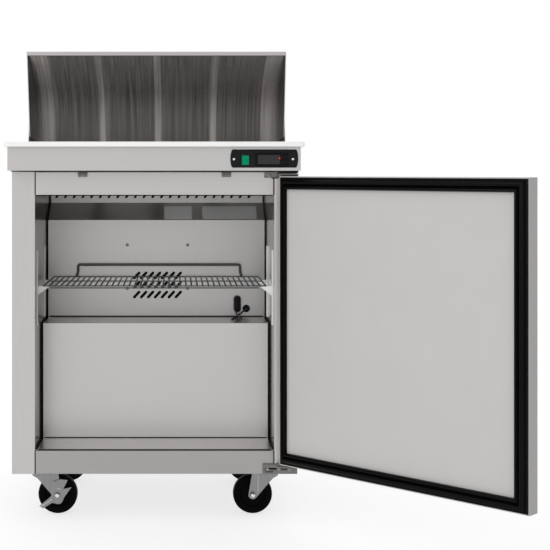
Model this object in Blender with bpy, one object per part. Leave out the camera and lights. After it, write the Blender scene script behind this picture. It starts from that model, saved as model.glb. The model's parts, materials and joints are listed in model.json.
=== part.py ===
"""Single-door refrigerated prep table on casters: one object for each separate piece.

Metres, +Z up. The cabinet faces -Y. Work coordinates: X = 0 on the cabinet's centre plane, Y = 0 on
the face of its front stiles, Z = 0 on the floor. The door and the hood lid stand open.
"""
import math

import bmesh
import bpy
from mathutils import Matrix, Vector

# ------------------------------------------------------------------ driving dimensions
GAP = 0.0003                 # clearance between touching pieces
SHEET = 0.001                # sheet steel

BASE_SHEET = 0.002           # galvanised base plate

BODY_HALF = 0.3525           # half width over the side panels
BODY_DEPTH = 0.640
BODY_BOTTOM = 0.125
BODY_TOP = 0.8715
WALL = 0.0565                # foamed side wall, which is also the stile's width
LIP = 0.012                  # depth of a stile's folded edge
SILL_TOP = 0.1825
HEADER_BOTTOM = 0.8146
HEADER_DEPTH = 0.058

STEP_FRONT = 0.152           # compressor housing inside the cabinet
STEP_TOP = 0.480
FLOOR_TOP = 0.184
HOUSING_WALL = 0.040
BACK_THICKNESS = 0.040
FRONT_PLAY = 0.0012          # side play of the header and the sill between the stiles
FRONT_EDGE = 0.0015          # rounded edge of the header and the sill
GRILLE_SLOTS = 9             # louvres in each column of the rear grille
GRILLE_COLUMNS = 3
GRILLE_MARGIN = 0.045
GRILLE_RIB = 0.1             # rib between columns, as a share of a louvre's length
GRILLE_SHEET = 0.0015

COVER_FRONT = 0.305          # evaporator cover
COVER_BEND_LOW = 0.741
COVER_REAR = 0.388
COVER_BEND_HIGH = 0.786
COVER_TOP = 0.826
COVER_SHEET = 0.0015
COVER_PLAY = 0.004
FAN_CENTRE = (0.003, 0.5655)  # X, Z
LOUVRE_ROWS = 3
LOUVRE_COLUMNS = 7
LOUVRE_PITCH = (0.0187, 0.0258)
LOUVRE_SIZE = (0.0098, 0.0038, 47)  # half length, radius, tilt in degrees
OUTLET_SLOTS = 23
OUTLET_START = -0.276
OUTLET_PITCH = 0.02416
OUTLET_HEIGHT = 0.8035
OUTLET_SIZE = (0.0042, 0.0030, 52)
COIL_HALF = 0.240            # evaporator coil
COIL_Y = (0.400, 0.460)
COIL_Z = (0.500, 0.740)
FLOOR_SEAM = 0.006           # open seam between the floor liner and the side liners

COMPRESSOR_AT = (-0.170, 0.400)  # machine compartment; heights are over the base plate
COMPRESSOR_PROFILE = ((0, 0), (0.060, 0), (0.076, 0.020), (0.078, 0.090), (0.074, 0.135), (0.052, 0.160),
                      (0, 0.168))
CONDENSER_X = (-0.060, 0.260)
CONDENSER_Y = (0.560, 0.610)
CONDENSER_HEIGHT = (0.010, 0.270)
CONDENSER_FAN_AT = (0.100, 0.525, 0.140)
CONDENSER_FAN_RADIUS = 0.115
EVAPORATOR_FAN_RADIUS = 0.062
EVAPORATOR_FAN_SETBACK = 0.028
FAN_BLADES = 5
FAN_THICKNESS = 0.018
FAN_HUB = 0.30               # hub radius as a share of the fan's

WORKTOP_HALF = 0.355
APRON_FRONT = -0.070
APRON_BOTTOM = 0.8747
WORKTOP_TOP = 0.932
BOARD_HALF = 0.3635
BOARD_FRONT = -0.095
BOARD_BACK = 0.205
BOARD_THICKNESS = 0.0122
BOARD_CORNER = 0.012
BOARD_EDGE = 0.0015

CONTROL_CENTRE = (0.2665, 0.9040)  # X, Z of the control bezel
CONTROL_HALF = (0.082, 0.0220)
CONTROL_BOW = 0.006          # how far the bezel's rounded ends bulge
CONTROL_POCKET = (0.074, 0.0195, 0.0175)  # half width, reach below and above the centre
SWITCH_CENTRE = (0.2207, 0.9014)
SWITCH_HALF = (0.0084, 0.0125)
THERMOSTAT_CENTRE = (0.2844, 0.9015)
THERMOSTAT_HALF = (0.0395, 0.0165)
BEZEL_THICKNESS = 0.003
WINDOW_PLAY = 0.001
THERMOSTAT_DEPTH = 0.050     # reach behind the apron
SWITCH_AXIS_DEPTH = 0.006
SWITCH_REACH = 0.013
SWITCH_DISH = 0.0022
SWITCH_TILT = math.radians(7)

PAN_SIZE_X = 0.162           # sixth-size pan, over the rim
PAN_SIZE_Y = 0.176
PAN_COLUMNS = 4
PAN_ROWS = 2
PAN_DEPTH = 0.098
PAN_RIM = 0.008
PAN_TAPER = 0.009            # how much narrower the pan's floor is on each side
PAN_SHEET = 0.0009
PAN_CORNERS = (0.012, 0.020)  # corner radius of the rim and of the body
PAN_WELL_FRONT = 0.243
DIVIDER_WIDTH = 0.008

LID_HALF = 0.352             # hood lid
LID_SHEET = 0.002
LID_LIP = (0.0105, 0.010)    # hemmed lip: depth, height
LID_PIVOT = (0.449, 1.004)   # Y, Z
LID_OPEN_ANGLE = math.radians(72.5)
LID_OUTLINE = ((0.2252, 0.9362), (0.262, 0.990), (0.300, 1.040), (0.380, 1.120), (0.450, 1.148),
               (0.545, 1.152))
LID_CHEEK_REAR = 0.465       # where the closed lid's side edge turns up
HOOD_RADIUS = 0.186          # fixed rear hood, about the lid's pivot
HOOD_SHEET = 0.0015
HOOD_CHEEK_FRONT = ((0.405, 1.016), (0.375, WORKTOP_TOP + GAP))

DOOR_LEFT = -0.335           # closed door
DOOR_RIGHT = 0.345
DOOR_BOTTOM = 0.157
DOOR_TOP = 0.861
DOOR_INNER = -0.012
DOOR_OUTER = -0.0455
DOOR_FLANGE = 0.013
GASKET_WIDTH = 0.028
GASKET_HINGE_WIDTH = 0.0225  # the hinge side's leg is narrower
GASKET_INSET = 0.0042
GASKET_DEPTH = 0.0108
DOOR_PIVOT = (0.3315, -0.035)
DOOR_OPEN_ANGLE = math.radians(135)
PIN_RADIUS = 0.005
PIN_DEPTH = 0.010            # how far each pin enters the door
HANDLE_X = (-0.318, -0.283)  # recessed pull of the closed door
HANDLE_Z = (0.450, 0.590)
HANDLE_DEPTH = 0.018
HANDLE_WALL = 0.0012
HINGE_FACE = -0.0035
HINGE_REACH = 0.0095         # the arm's reach in front of the pin
# Hinge brackets: side, plate left, plate bottom, plate top, arm bottom, arm top.
HINGES = (("top", 0.271, 0.8572, 0.8710, 0.8640, 0.8670), ("bottom", 0.267, 0.1260, 0.1515, 0.1485, 0.1515))

SHELF_HALF = 0.277
SHELF_FRONT = 0.012
SHELF_BACK = 0.300
SHELF_HEIGHT = 0.590
SHELF_WIRE = 0.003
SHELF_WIRES = 40
SHELF_RAIL_RISE = 0.0345
SHELF_RAIL_WIRES = (5, 36)   # the rail stands on these wires
PILASTER_BOTTOM = 0.489
PILASTER_TOP = 0.676
PILASTER_Y = (0.042, 0.225)

SWIVEL_X = 0.282             # casters
SWIVEL_Y = (0.116, 0.470)
CASTER_TRAIL = 0.0335
WHEEL_RADIUS = 0.050
WHEEL_WIDTH = 0.030
CASTER_PLATE = (0.030, 0.046, 0.0027)  # half width, half depth, thickness
RACEWAY = ((0.026, 0.1085), (0.030, 0.113))  # radius, height
CROWN_RADIUS = 0.029
CROWN_TOP = 0.1082
FORK_LEG = 0.0025
FORK_END = 0.0115            # radius of the leg's round end
FORK_FLARE = ((-0.030, 0.0985), (-0.018, 0.092), (-0.007, 0.0796))  # X from the swivel axis, Z
FORK_TOP = (0.031, 0.0017)   # leg's top edge: reach past the swivel axis, reach past the axle
AXLE_RADIUS = 0.004
AXLE_HEAD = (0.006, 0.003)   # radius, thickness
WHEEL_BORE = 0.0045
WHEEL_SHOULDER = (0.004, 0.005)
FORK_GAP = 0.0015
BRAKE_THICKNESS = 0.004
# Brake plate about the axle: pedal at the lower left, two claws at the upper right.
BRAKE_OUTLINE = ((-0.046, -0.028), (-0.036, -0.034), (-0.014, -0.020), (-0.006, -0.021), (0.000, -0.023),
                 (0.008, -0.022), (0.013, -0.016), (0.017, -0.006), (0.036, 0.020), (0.015, 0.0155),
                 (0.026, 0.038), (0.008, 0.040), (-0.012, 0.034), (-0.014, 0.014), (-0.016, -0.003))

ROUND_SEGMENTS = 24


# ------------------------------------------------------------------ materials
MATERIALS = {}


def material(name, colour, roughness, metallic):
    if name not in MATERIALS:
        made = bpy.data.materials.new(name)
        made.use_nodes = True
        shader = made.node_tree.nodes["Principled BSDF"]
        shader.inputs["Base Color"].default_value = (*colour, 1.0)
        shader.inputs["Roughness"].default_value = roughness
        shader.inputs["Metallic"].default_value = metallic
        MATERIALS[name] = made
    return MATERIALS[name]


def stainless():
    return material("stainless", (0.60, 0.59, 0.57), 0.35, 1.0)


def inner_sheet():
    return material("inner_sheet", (0.68, 0.68, 0.68), 0.25, 1.0)


def foam():
    return material("foam", (0.85, 0.80, 0.60), 0.95, 0.0)


def galvanised():
    return material("galvanised", (0.50, 0.51, 0.52), 0.45, 1.0)


def black_plastic():
    return material("black_plastic", (0.02, 0.02, 0.022), 0.45, 0.0)


def zinc():
    return material("zinc", (0.42, 0.42, 0.43), 0.40, 1.0)


# ------------------------------------------------------------------ scene helpers
def clear_scene():
    for old in list(bpy.data.objects):
        bpy.data.objects.remove(old, do_unlink=True)


def add_empty(name, location, parent=None):
    empty = bpy.data.objects.new(name, None)
    bpy.context.collection.objects.link(empty)
    empty.parent = parent
    empty.location = location
    return empty


def add_object(name, shape, finish, parent):
    """Turn a bmesh into a named object with one material, parented to an empty."""
    bmesh.ops.recalc_face_normals(shape, faces=shape.faces)
    mesh = bpy.data.meshes.new(name)
    shape.to_mesh(mesh)
    shape.free()
    mesh.materials.append(finish)
    piece = bpy.data.objects.new(name, mesh)
    bpy.context.collection.objects.link(piece)
    piece.parent = parent
    return piece


def shade_round(piece, angle=40):
    piece.data.shade_smooth()
    piece.data.set_sharp_from_angle(angle=math.radians(angle))


def add_bevel(piece, width, segments=2):
    bevel = piece.modifiers.new("rounded_edges", "BEVEL")
    bevel.width = width
    bevel.segments = segments
    bevel.limit_method = "ANGLE"


def combine(piece, cutter, operation="DIFFERENCE"):
    """Boolean with a helper object that is not a piece itself."""
    cutter.hide_render = True
    cutter.display_type = "WIRE"
    step = piece.modifiers.new(cutter.name, "BOOLEAN")
    step.operation = operation
    step.object = cutter
    step.solver = "EXACT"


# ------------------------------------------------------------------ shapes
def box_shape(low, high):
    shape = bmesh.new()
    bmesh.ops.create_cube(shape, size=1.0)
    for vertex in shape.verts:
        for axis in range(3):
            middle = (low[axis] + high[axis]) / 2
            vertex.co[axis] = middle + vertex.co[axis] * (high[axis] - low[axis])
    return shape


def box(name, low, high, finish, parent):
    return add_object(name, box_shape(low, high), finish, parent)


def point_on(axis, along, first, second):
    """A point with coordinate `along` on the axis, and the other two in X, Y, Z order."""
    others = [first, second]
    return Vector([along if index == axis else others.pop(0) for index in range(3)])


def prism_shape(outline, axis, start, end, shape=None):
    """Extrude a 2-D outline along axis 0, 1 or 2."""
    shape = shape or bmesh.new()
    near = [shape.verts.new(point_on(axis, start, *point)) for point in outline]
    far = [shape.verts.new(point_on(axis, end, *point)) for point in outline]
    shape.faces.new(near)
    shape.faces.new(list(reversed(far)))
    for index in range(len(outline)):
        after = (index + 1) % len(outline)
        shape.faces.new((near[index], far[index], far[after], near[after]))
    return shape


def prism(name, outline, axis, start, end, finish, parent):
    return add_object(name, prism_shape(outline, axis, start, end), finish, parent)


def cell_solid(name, cuts, is_filled, finish, parent):
    """A solid made of grid cells: cuts holds three lists of planes, is_filled(i, j, k) picks cells."""
    counts = [len(planes) - 1 for planes in cuts]

    def filled(cell):
        inside = all(0 <= cell[axis] < counts[axis] for axis in range(3))
        return inside and is_filled(*cell)

    shape = bmesh.new()
    corners = {}

    def corner(key):
        if key not in corners:
            corners[key] = shape.verts.new([cuts[axis][key[axis]] for axis in range(3)])
        return corners[key]

    cells = [(i, j, k) for i in range(counts[0]) for j in range(counts[1]) for k in range(counts[2])]
    for cell in cells:
        if not filled(cell):
            continue
        for axis in range(3):
            first, second = [other for other in range(3) if other != axis]
            for side in (0, 1):
                beyond = list(cell)
                beyond[axis] += 1 if side else -1
                if filled(tuple(beyond)):
                    continue
                keys = []
                for step_first, step_second in ((0, 0), (1, 0), (1, 1), (0, 1)):
                    key = list(cell)
                    key[axis] += side
                    key[first] += step_first
                    key[second] += step_second
                    keys.append(tuple(key))
                shape.faces.new([corner(key) for key in keys])
    return add_object(name, shape, finish, parent)


def turned_shape(profile, centre, axis, segments=ROUND_SEGMENTS):
    """Turn (radius, along) pairs about an axis; radius 0 closes an end, else the loop closes on itself."""
    shape = bmesh.new()
    rings = []
    for radius, along in profile:
        if radius == 0:
            rings.append([shape.verts.new(point_on(axis, along, 0, 0))])
            continue
        ring = []
        for index in range(segments):
            turn = 2 * math.pi * index / segments
            point = point_on(axis, along, radius * math.cos(turn), radius * math.sin(turn))
            ring.append(shape.verts.new(point))
        rings.append(ring)
    pairs = list(zip(rings, rings[1:]))
    if len(rings[0]) > 1:
        pairs.append((rings[-1], rings[0]))
    for near, far in pairs:
        for index in range(segments):
            after = (index + 1) % segments
            corners = [near[index % len(near)], near[after % len(near)],
                       far[after % len(far)], far[index % len(far)]]
            unique = list(dict.fromkeys(corners))
            shape.faces.new(unique)
    bmesh.ops.translate(shape, verts=shape.verts, vec=Vector(centre))
    return shape


def turned(name, profile, centre, axis, finish, parent, segments=ROUND_SEGMENTS):
    piece = add_object(name, turned_shape(profile, centre, axis, segments), finish, parent)
    shade_round(piece)
    return piece


def arc(centre, radius, start, end, steps):
    """Points of a circular arc; angles in degrees."""
    points = []
    for index in range(steps + 1):
        turn = math.radians(start + (end - start) * index / steps)
        points.append((centre[0] + radius * math.cos(turn), centre[1] + radius * math.sin(turn)))
    return points


def rounded_outline(left, right, bottom, top, radius, steps=3):
    corners = (((right - radius, top - radius), 0), ((left + radius, top - radius), 90),
               ((left + radius, bottom + radius), 180), ((right - radius, bottom + radius), 270))
    points = []
    for centre, start in corners:
        points += arc(centre, radius, start, start + 90, steps)
    return points


def smooth_line(points, steps):
    """Catmull-Rom curve through the points."""
    ends = [points[0]] + list(points) + [points[-1]]
    curve = []
    for index in range(1, len(ends) - 2):
        before, start, end, after = (Vector(ends[index + offset]) for offset in (-1, 0, 1, 2))
        for step in range(steps):
            t = step / steps
            curve.append(0.5 * (2 * start + (end - before) * t
                                + (2 * before - 5 * start + 4 * end - after) * t * t
                                + (3 * start - before - 3 * end + after) * t ** 3))
    curve.append(Vector(points[-1]))
    return [tuple(point) for point in curve]


def inset_line(line, distance):
    """The line moved sideways by distance, to the right of its direction."""
    moved = []
    for index, point in enumerate(line):
        before = Vector(line[max(index - 1, 0)])
        after = Vector(line[min(index + 1, len(line) - 1)])
        along = (after - before).normalized()
        moved.append((point[0] + along.y * distance, point[1] - along.x * distance))
    return moved


# ------------------------------------------------------------------ cabinet shell
def build_side(sign, parent):
    """One side: folded outer panel, its foam and the inner liner sheet. sign is -1 left, +1 right."""
    side = "left" if sign < 0 else "right"
    outer = sign * BODY_HALF
    inner = sign * (BODY_HALF - WALL)
    skin = sign * SHEET
    outline = [(outer, 0), (inner, 0), (inner, LIP), (inner + skin, LIP), (inner + skin, SHEET),
               (outer - skin, SHEET), (outer - skin, BODY_DEPTH), (outer, BODY_DEPTH)]
    prism(f"side_panel_{side}", outline, 2, BODY_BOTTOM, BODY_TOP, stainless(), parent)
    foam_x = sorted((outer - sign * (SHEET + GAP), inner + sign * (SHEET + GAP)))
    foam_back = BODY_DEPTH - BACK_THICKNESS - 2 * SHEET
    box(f"insulation_{side}", (foam_x[0], LIP + GAP, BODY_BOTTOM + BASE_SHEET + GAP),
        (foam_x[1], foam_back, COVER_TOP), foam(), parent)
    liner_x = sorted((inner, inner + skin))
    box(f"liner_{side}", (liner_x[0], LIP + GAP, FLOOR_TOP + GAP), (liner_x[1], foam_back, COVER_TOP),
        inner_sheet(), parent)


def build_shell(parent):
    inside = BODY_HALF - SHEET - GAP
    box("base_plate", (-inside, LIP + GAP, BODY_BOTTOM), (inside, BODY_DEPTH - SHEET, BODY_BOTTOM + BASE_SHEET),
        galvanised(), parent)
    for sign in (-1, 1):
        build_side(sign, parent)
    between = BODY_HALF - WALL - FRONT_PLAY
    header = box("front_header", (-between, 0, HEADER_BOTTOM), (between, HEADER_DEPTH, BODY_TOP),
                 stainless(), parent)
    add_bevel(header, FRONT_EDGE)
    sill = box("front_sill", (-between, 0, BODY_BOTTOM), (between, LIP, SILL_TOP), stainless(), parent)
    add_bevel(sill, FRONT_EDGE)
    low = BODY_BOTTOM + BASE_SHEET + GAP
    under = FLOOR_TOP - SHEET - GAP
    riser = STEP_FRONT + SHEET + GAP
    shelf = STEP_TOP - SHEET - GAP
    foam_back = BODY_DEPTH - BACK_THICKNESS - 2 * SHEET
    foamed = [(LIP + GAP, low), (riser + HOUSING_WALL, low), (riser + HOUSING_WALL, shelf - HOUSING_WALL),
              (foam_back, shelf - HOUSING_WALL), (foam_back, shelf), (riser, shelf), (riser, under),
              (LIP + GAP, under)]
    foam_half = BODY_HALF - WALL - GAP
    prism("floor_insulation", foamed, 0, -foam_half, foam_half, foam(), parent)
    liner = [(LIP + GAP, FLOOR_TOP - SHEET), (STEP_FRONT + SHEET, FLOOR_TOP - SHEET),
             (STEP_FRONT + SHEET, STEP_TOP - SHEET), (foam_back, STEP_TOP - SHEET), (foam_back, STEP_TOP),
             (STEP_FRONT, STEP_TOP), (STEP_FRONT, FLOOR_TOP), (LIP + GAP, FLOOR_TOP)]
    liner_half = BODY_HALF - WALL - FLOOR_SEAM
    prism("floor_liner", liner, 0, -liner_half, liner_half, inner_sheet(), parent)
    box("back_panel", (-inside, foam_back + GAP, STEP_TOP - SHEET - HOUSING_WALL),
        (inside, BODY_DEPTH - SHEET, BODY_TOP), stainless(), parent)


def build_rear_grille(parent):
    """Removable rear cover of the machine compartment, with columns of horizontal louvres."""
    half = BODY_HALF - SHEET - GAP
    low = BODY_BOTTOM + BASE_SHEET + GAP
    high = STEP_TOP - SHEET - HOUSING_WALL - GAP
    rows = [low]
    pitch = (high - low - 2 * GRILLE_MARGIN) / (2 * GRILLE_SLOTS - 1)
    rows += [low + GRILLE_MARGIN + pitch * index for index in range(2 * GRILLE_SLOTS)]
    rows.append(high)
    sides = [-half]
    span = (2 * half - 2 * GRILLE_MARGIN) / (GRILLE_COLUMNS + GRILLE_RIB * (GRILLE_COLUMNS - 1))
    for column in range(GRILLE_COLUMNS):
        start = -half + GRILLE_MARGIN + column * span * (1 + GRILLE_RIB)
        sides += [start, start + span]
    sides.append(half)
    depth = [BODY_DEPTH - SHEET - GRILLE_SHEET, BODY_DEPTH - SHEET]

    def solid(i, j, k):
        return not (i % 2 == 1 and k % 2 == 1)

    cell_solid("rear_grille", (sides, depth, rows), solid, galvanised(), parent)


# ------------------------------------------------------------------ refrigeration
def capsule(centre, half_length, radius, tilt, steps=3):
    """Outline of a slot with round ends, tilted from the horizontal by an angle in degrees."""
    reach = Vector((math.cos(math.radians(tilt)), math.sin(math.radians(tilt)))) * half_length
    middle = Vector(centre)
    return (arc(middle + reach, radius, tilt - 90, tilt + 90, steps)
            + arc(middle - reach, radius, tilt + 90, tilt + 270, steps))


def build_evaporator(parent):
    """Folded inner back sheet with the fan's louvres low down and the air outlet's slots at the top."""
    half = BODY_HALF - WALL - COVER_PLAY
    line = [(COVER_FRONT, STEP_TOP + GAP), (COVER_FRONT, COVER_BEND_LOW), (COVER_REAR, COVER_BEND_HIGH),
            (COVER_REAR, COVER_TOP)]
    back = inset_line(line, COVER_SHEET)
    cover = prism("evaporator_cover", line + back[::-1], 0, -half, half, inner_sheet(), parent)
    cutters = bmesh.new()
    for row in range(LOUVRE_ROWS):
        for column in range(LOUVRE_COLUMNS):
            centre = (FAN_CENTRE[0] + (column - (LOUVRE_COLUMNS - 1) / 2) * LOUVRE_PITCH[0],
                      FAN_CENTRE[1] + (row - (LOUVRE_ROWS - 1) / 2) * LOUVRE_PITCH[1])
            outline = capsule(centre, *LOUVRE_SIZE)
            prism_shape(outline, 1, COVER_FRONT - 0.01, COVER_FRONT + 0.01, cutters)
    for column in range(OUTLET_SLOTS):
        outline = capsule((OUTLET_START + column * OUTLET_PITCH, OUTLET_HEIGHT), *OUTLET_SIZE, 2)
        prism_shape(outline, 1, COVER_REAR - 0.01, COVER_REAR + 0.01, cutters)
    combine(cover, add_object("air_slots", cutters, black_plastic(), parent))
    box("evaporator_coil", (-COIL_HALF, COIL_Y[0], COIL_Z[0]), (COIL_HALF, COIL_Y[1], COIL_Z[1]),
        material("coil_fins", (0.65, 0.66, 0.68), 0.4, 1.0), parent)


def fan_shape(radius, hub_radius, thickness, blades):
    """Hub and pitched blades about the Y axis, joined by their overlap."""
    hub = turned_shape([(0, -thickness / 2), (hub_radius, -thickness / 2), (hub_radius, thickness / 2),
                        (0, thickness / 2)], (0, 0, 0), 1, 16)
    fins = bmesh.new()
    for blade in range(blades):
        fin = box_shape((-0.16 * radius, -0.001, hub_radius * 0.8), (0.16 * radius, 0.001, radius))
        bmesh.ops.rotate(fin, verts=fin.verts, matrix=Matrix.Rotation(math.radians(28), 3, "Z"))
        turn = Matrix.Rotation(2 * math.pi * blade / blades, 3, "Y")
        bmesh.ops.rotate(fin, verts=fin.verts, matrix=turn)
        mesh = bpy.data.meshes.new("fin")
        fin.to_mesh(mesh)
        fin.free()
        fins.from_mesh(mesh)
        bpy.data.meshes.remove(mesh)
    return hub, fins


def build_fan(name, centre, radius, parent):
    hub_radius = radius * FAN_HUB
    axle = add_empty(f"{name}_axis", centre, parent)
    hub, fins = fan_shape(radius, hub_radius, FAN_THICKNESS, FAN_BLADES)
    fan = add_object(name, hub, black_plastic(), axle)
    combine(fan, add_object(f"{name}_blades", fins, black_plastic(), axle), "UNION")


def build_machine(parent):
    """Compressor, condenser coil and its fan on the base plate, and the fan behind the cover's louvres."""
    base = BODY_BOTTOM + BASE_SHEET + GAP
    turned("compressor", COMPRESSOR_PROFILE, (*COMPRESSOR_AT, base), 2,
           material("compressor_black", (0.02, 0.02, 0.02), 0.35, 0.0), parent)
    box("condenser_coil", (CONDENSER_X[0], CONDENSER_Y[0], base + CONDENSER_HEIGHT[0]),
        (CONDENSER_X[1], CONDENSER_Y[1], base + CONDENSER_HEIGHT[1]),
        material("condenser_black", (0.05, 0.05, 0.055), 0.5, 0.5), parent)
    fan_x, fan_y, fan_height = CONDENSER_FAN_AT
    build_fan("condenser_fan", (fan_x, fan_y, base + fan_height), CONDENSER_FAN_RADIUS, parent)
    fan_x, fan_z = FAN_CENTRE
    build_fan("evaporator_fan", (fan_x, COVER_FRONT + EVAPORATOR_FAN_SETBACK, fan_z), EVAPORATOR_FAN_RADIUS,
              parent)


# ------------------------------------------------------------------ top, controls and hood
def pan_well():
    """Edges of the pan field: X from, X to, Y from, Y to."""
    half = PAN_COLUMNS * PAN_SIZE_X / 2
    return -half, half, PAN_WELL_FRONT, PAN_WELL_FRONT + PAN_ROWS * PAN_SIZE_Y


def build_worktop(parent):
    west, east, south, north = pan_well()
    ledge = PAN_RIM - 0.002
    cuts = ([-WORKTOP_HALF, west + ledge, east - ledge, WORKTOP_HALF],
            [APRON_FRONT, -0.008, south + ledge, north - ledge, BODY_DEPTH],
            [BODY_TOP + GAP, APRON_BOTTOM, WORKTOP_TOP])

    def solid(i, j, k):
        if i == 1 and j == 2:
            return False
        return k == 1 or j > 0

    worktop = cell_solid("worktop", cuts, solid, stainless(), parent)
    x, z = CONTROL_CENTRE
    half, below, above = CONTROL_POCKET
    pocket = box("controls_recess", (x - half, APRON_FRONT - 0.010, z - below),
                 (x + half, APRON_FRONT + 0.055, z + above), stainless(), parent)
    combine(worktop, pocket)
    middle = PAN_WELL_FRONT + PAN_SIZE_Y
    half_bar = DIVIDER_WIDTH / 2
    clear = ledge + GAP
    xs = [west + clear]
    for column in range(1, PAN_COLUMNS):
        x = west + column * PAN_SIZE_X
        xs += [x - half_bar, x + half_bar]
    xs.append(east - clear)
    bars = (xs, [south + clear, middle - half_bar, middle + half_bar, north - clear],
            [WORKTOP_TOP - 0.012, WORKTOP_TOP - GAP])

    def is_bar(i, j, k):
        return j == 1 or i % 2 == 1

    cell_solid("pan_divider", bars, is_bar, stainless(), parent)


def build_controls(parent):
    """Bezel plate with bowed ends, set on the apron; the switch and the controller sit in its windows."""
    x, z = CONTROL_CENTRE
    half_x, half_z = CONTROL_HALF
    bow = CONTROL_BOW
    right_end = [(x + half_x - bow + bow * math.cos(t), z + half_z * math.sin(t))
                 for t in (math.radians(-90 + 18 * index) for index in range(11))]
    left_end = [(2 * x - px, 2 * z - pz) for px, pz in right_end]
    front = APRON_FRONT - BEZEL_THICKNESS
    bezel = prism("control_bezel", right_end + left_end, 1, front, APRON_FRONT - GAP,
                  material("bezel_grey", (0.05, 0.05, 0.055), 0.5, 0.0), parent)
    windows = bmesh.new()
    for (cx, cz), (wx, wz) in ((SWITCH_CENTRE, SWITCH_HALF), (THERMOSTAT_CENTRE, THERMOSTAT_HALF)):
        outline = rounded_outline(cx - wx - WINDOW_PLAY, cx + wx + WINDOW_PLAY, cz - wz - WINDOW_PLAY,
                                  cz + wz + WINDOW_PLAY, WINDOW_PLAY, 1)
        prism_shape(outline, 1, front - 0.01, APRON_FRONT + 0.01, windows)
    combine(bezel, add_object("bezel_windows", windows, black_plastic(), parent))
    cx, cz = THERMOSTAT_CENTRE
    wx, wz = THERMOSTAT_HALF
    controller = box("temperature_controller", (cx - wx, front - 0.001, cz - wz),
                     (cx + wx, APRON_FRONT + THERMOSTAT_DEPTH, cz + wz),
                     material("controller_black", (0.015, 0.015, 0.017), 0.2, 0.0), parent)
    add_bevel(controller, 0.001)
    cx, cz = SWITCH_CENTRE
    wx, wz = SWITCH_HALF
    rocker_axis = add_empty("power_switch_axis", (cx, APRON_FRONT + SWITCH_AXIS_DEPTH, cz), parent)
    face = [(-SWITCH_REACH, -wz * 0.90), (-SWITCH_REACH + SWITCH_DISH, 0), (-SWITCH_REACH, wz * 0.90)]
    outline = face + [(0.004, wz * 0.55), (0.004, -wz * 0.55)]
    shape = prism_shape(outline, 0, -wx, wx)
    bmesh.ops.rotate(shape, verts=shape.verts, matrix=Matrix.Rotation(SWITCH_TILT, 3, "X"))
    add_object("power_switch", shape, material("switch_green", (0.0, 0.35, 0.16), 0.25, 0.0), rocker_axis)


def build_board(parent):
    outline = rounded_outline(-BOARD_HALF, BOARD_HALF, BOARD_FRONT, BOARD_BACK, BOARD_CORNER)
    low = WORKTOP_TOP + GAP
    board = prism("cutting_board", outline, 2, low, low + BOARD_THICKNESS,
                  material("board_white", (0.90, 0.90, 0.89), 0.5, 0.0), parent)
    add_bevel(board, BOARD_EDGE)


def lid_outline(inset):
    """Closed lid's side outline: the curved back from the lip to the rear edge."""
    curve = smooth_line(LID_OUTLINE, 4)
    if inset:
        curve = inset_line(curve, inset)
        curve[0] = (curve[0][0] - 0.0116, curve[0][1] - 0.0163)
        curve[-1] = (curve[-1][0] + 0.03, curve[-1][1])
    return curve


def build_lid(parent):
    """Roll-over lid: one curved sheet with a cheek at each end and a hemmed lip."""
    pivot = add_empty("lid_axis", (0, *LID_PIVOT), parent)
    hang = add_empty("lid_hang", (0, -LID_PIVOT[0], -LID_PIVOT[1]), pivot)
    bottom = LID_OUTLINE[0][1]
    outer = lid_outline(0) + [(LID_CHEEK_REAR, bottom)]
    inner = lid_outline(LID_SHEET)
    inner += [(inner[-1][0], bottom - 0.03)]
    lid = prism("hood_lid", outer, 0, -LID_HALF, LID_HALF, stainless(), hang)
    hollow_half = LID_HALF - LID_SHEET
    combine(lid, prism("lid_hollow", inner, 0, -hollow_half, hollow_half, stainless(), hang))
    front = LID_OUTLINE[0][0]
    depth, height = LID_LIP
    lip = [(front + 0.0005, bottom), (front + depth, bottom), (front + depth + 0.004, bottom + height),
           (front + 0.0005 + height * 0.70, bottom + height)]
    lip_half = LID_HALF - 0.0005
    combine(lid, prism("lid_lip", lip, 0, -lip_half, lip_half, stainless(), hang), "UNION")
    shade_round(lid)
    pivot.rotation_euler.x = -LID_OPEN_ANGLE


def hood_outline(inset):
    """Fixed hood's side outline about the lid's pivot, rear corner first."""
    radius = HOOD_RADIUS - inset
    points = [(BODY_DEPTH - inset, WORKTOP_TOP + GAP)]
    points += arc(LID_PIVOT, radius, 0, 62, 12)
    return points


def build_hood(parent):
    skin = HOOD_SHEET
    outline = hood_outline(0) + list(HOOD_CHEEK_FRONT)
    outer = prism("rear_hood", outline, 0, -WORKTOP_HALF, WORKTOP_HALF, stainless(), parent)
    inner = hood_outline(skin)
    inner[0] = (inner[0][0], WORKTOP_TOP - 0.02)
    top = inner[-1]
    inner += [(top[0] - 0.03, top[1] + 0.05), (0.30, 1.05), (0.30, WORKTOP_TOP - 0.02)]
    hollow = prism("hood_hollow", inner, 0, -WORKTOP_HALF + skin, WORKTOP_HALF - skin, stainless(), parent)
    combine(outer, hollow)
    shade_round(outer)


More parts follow.
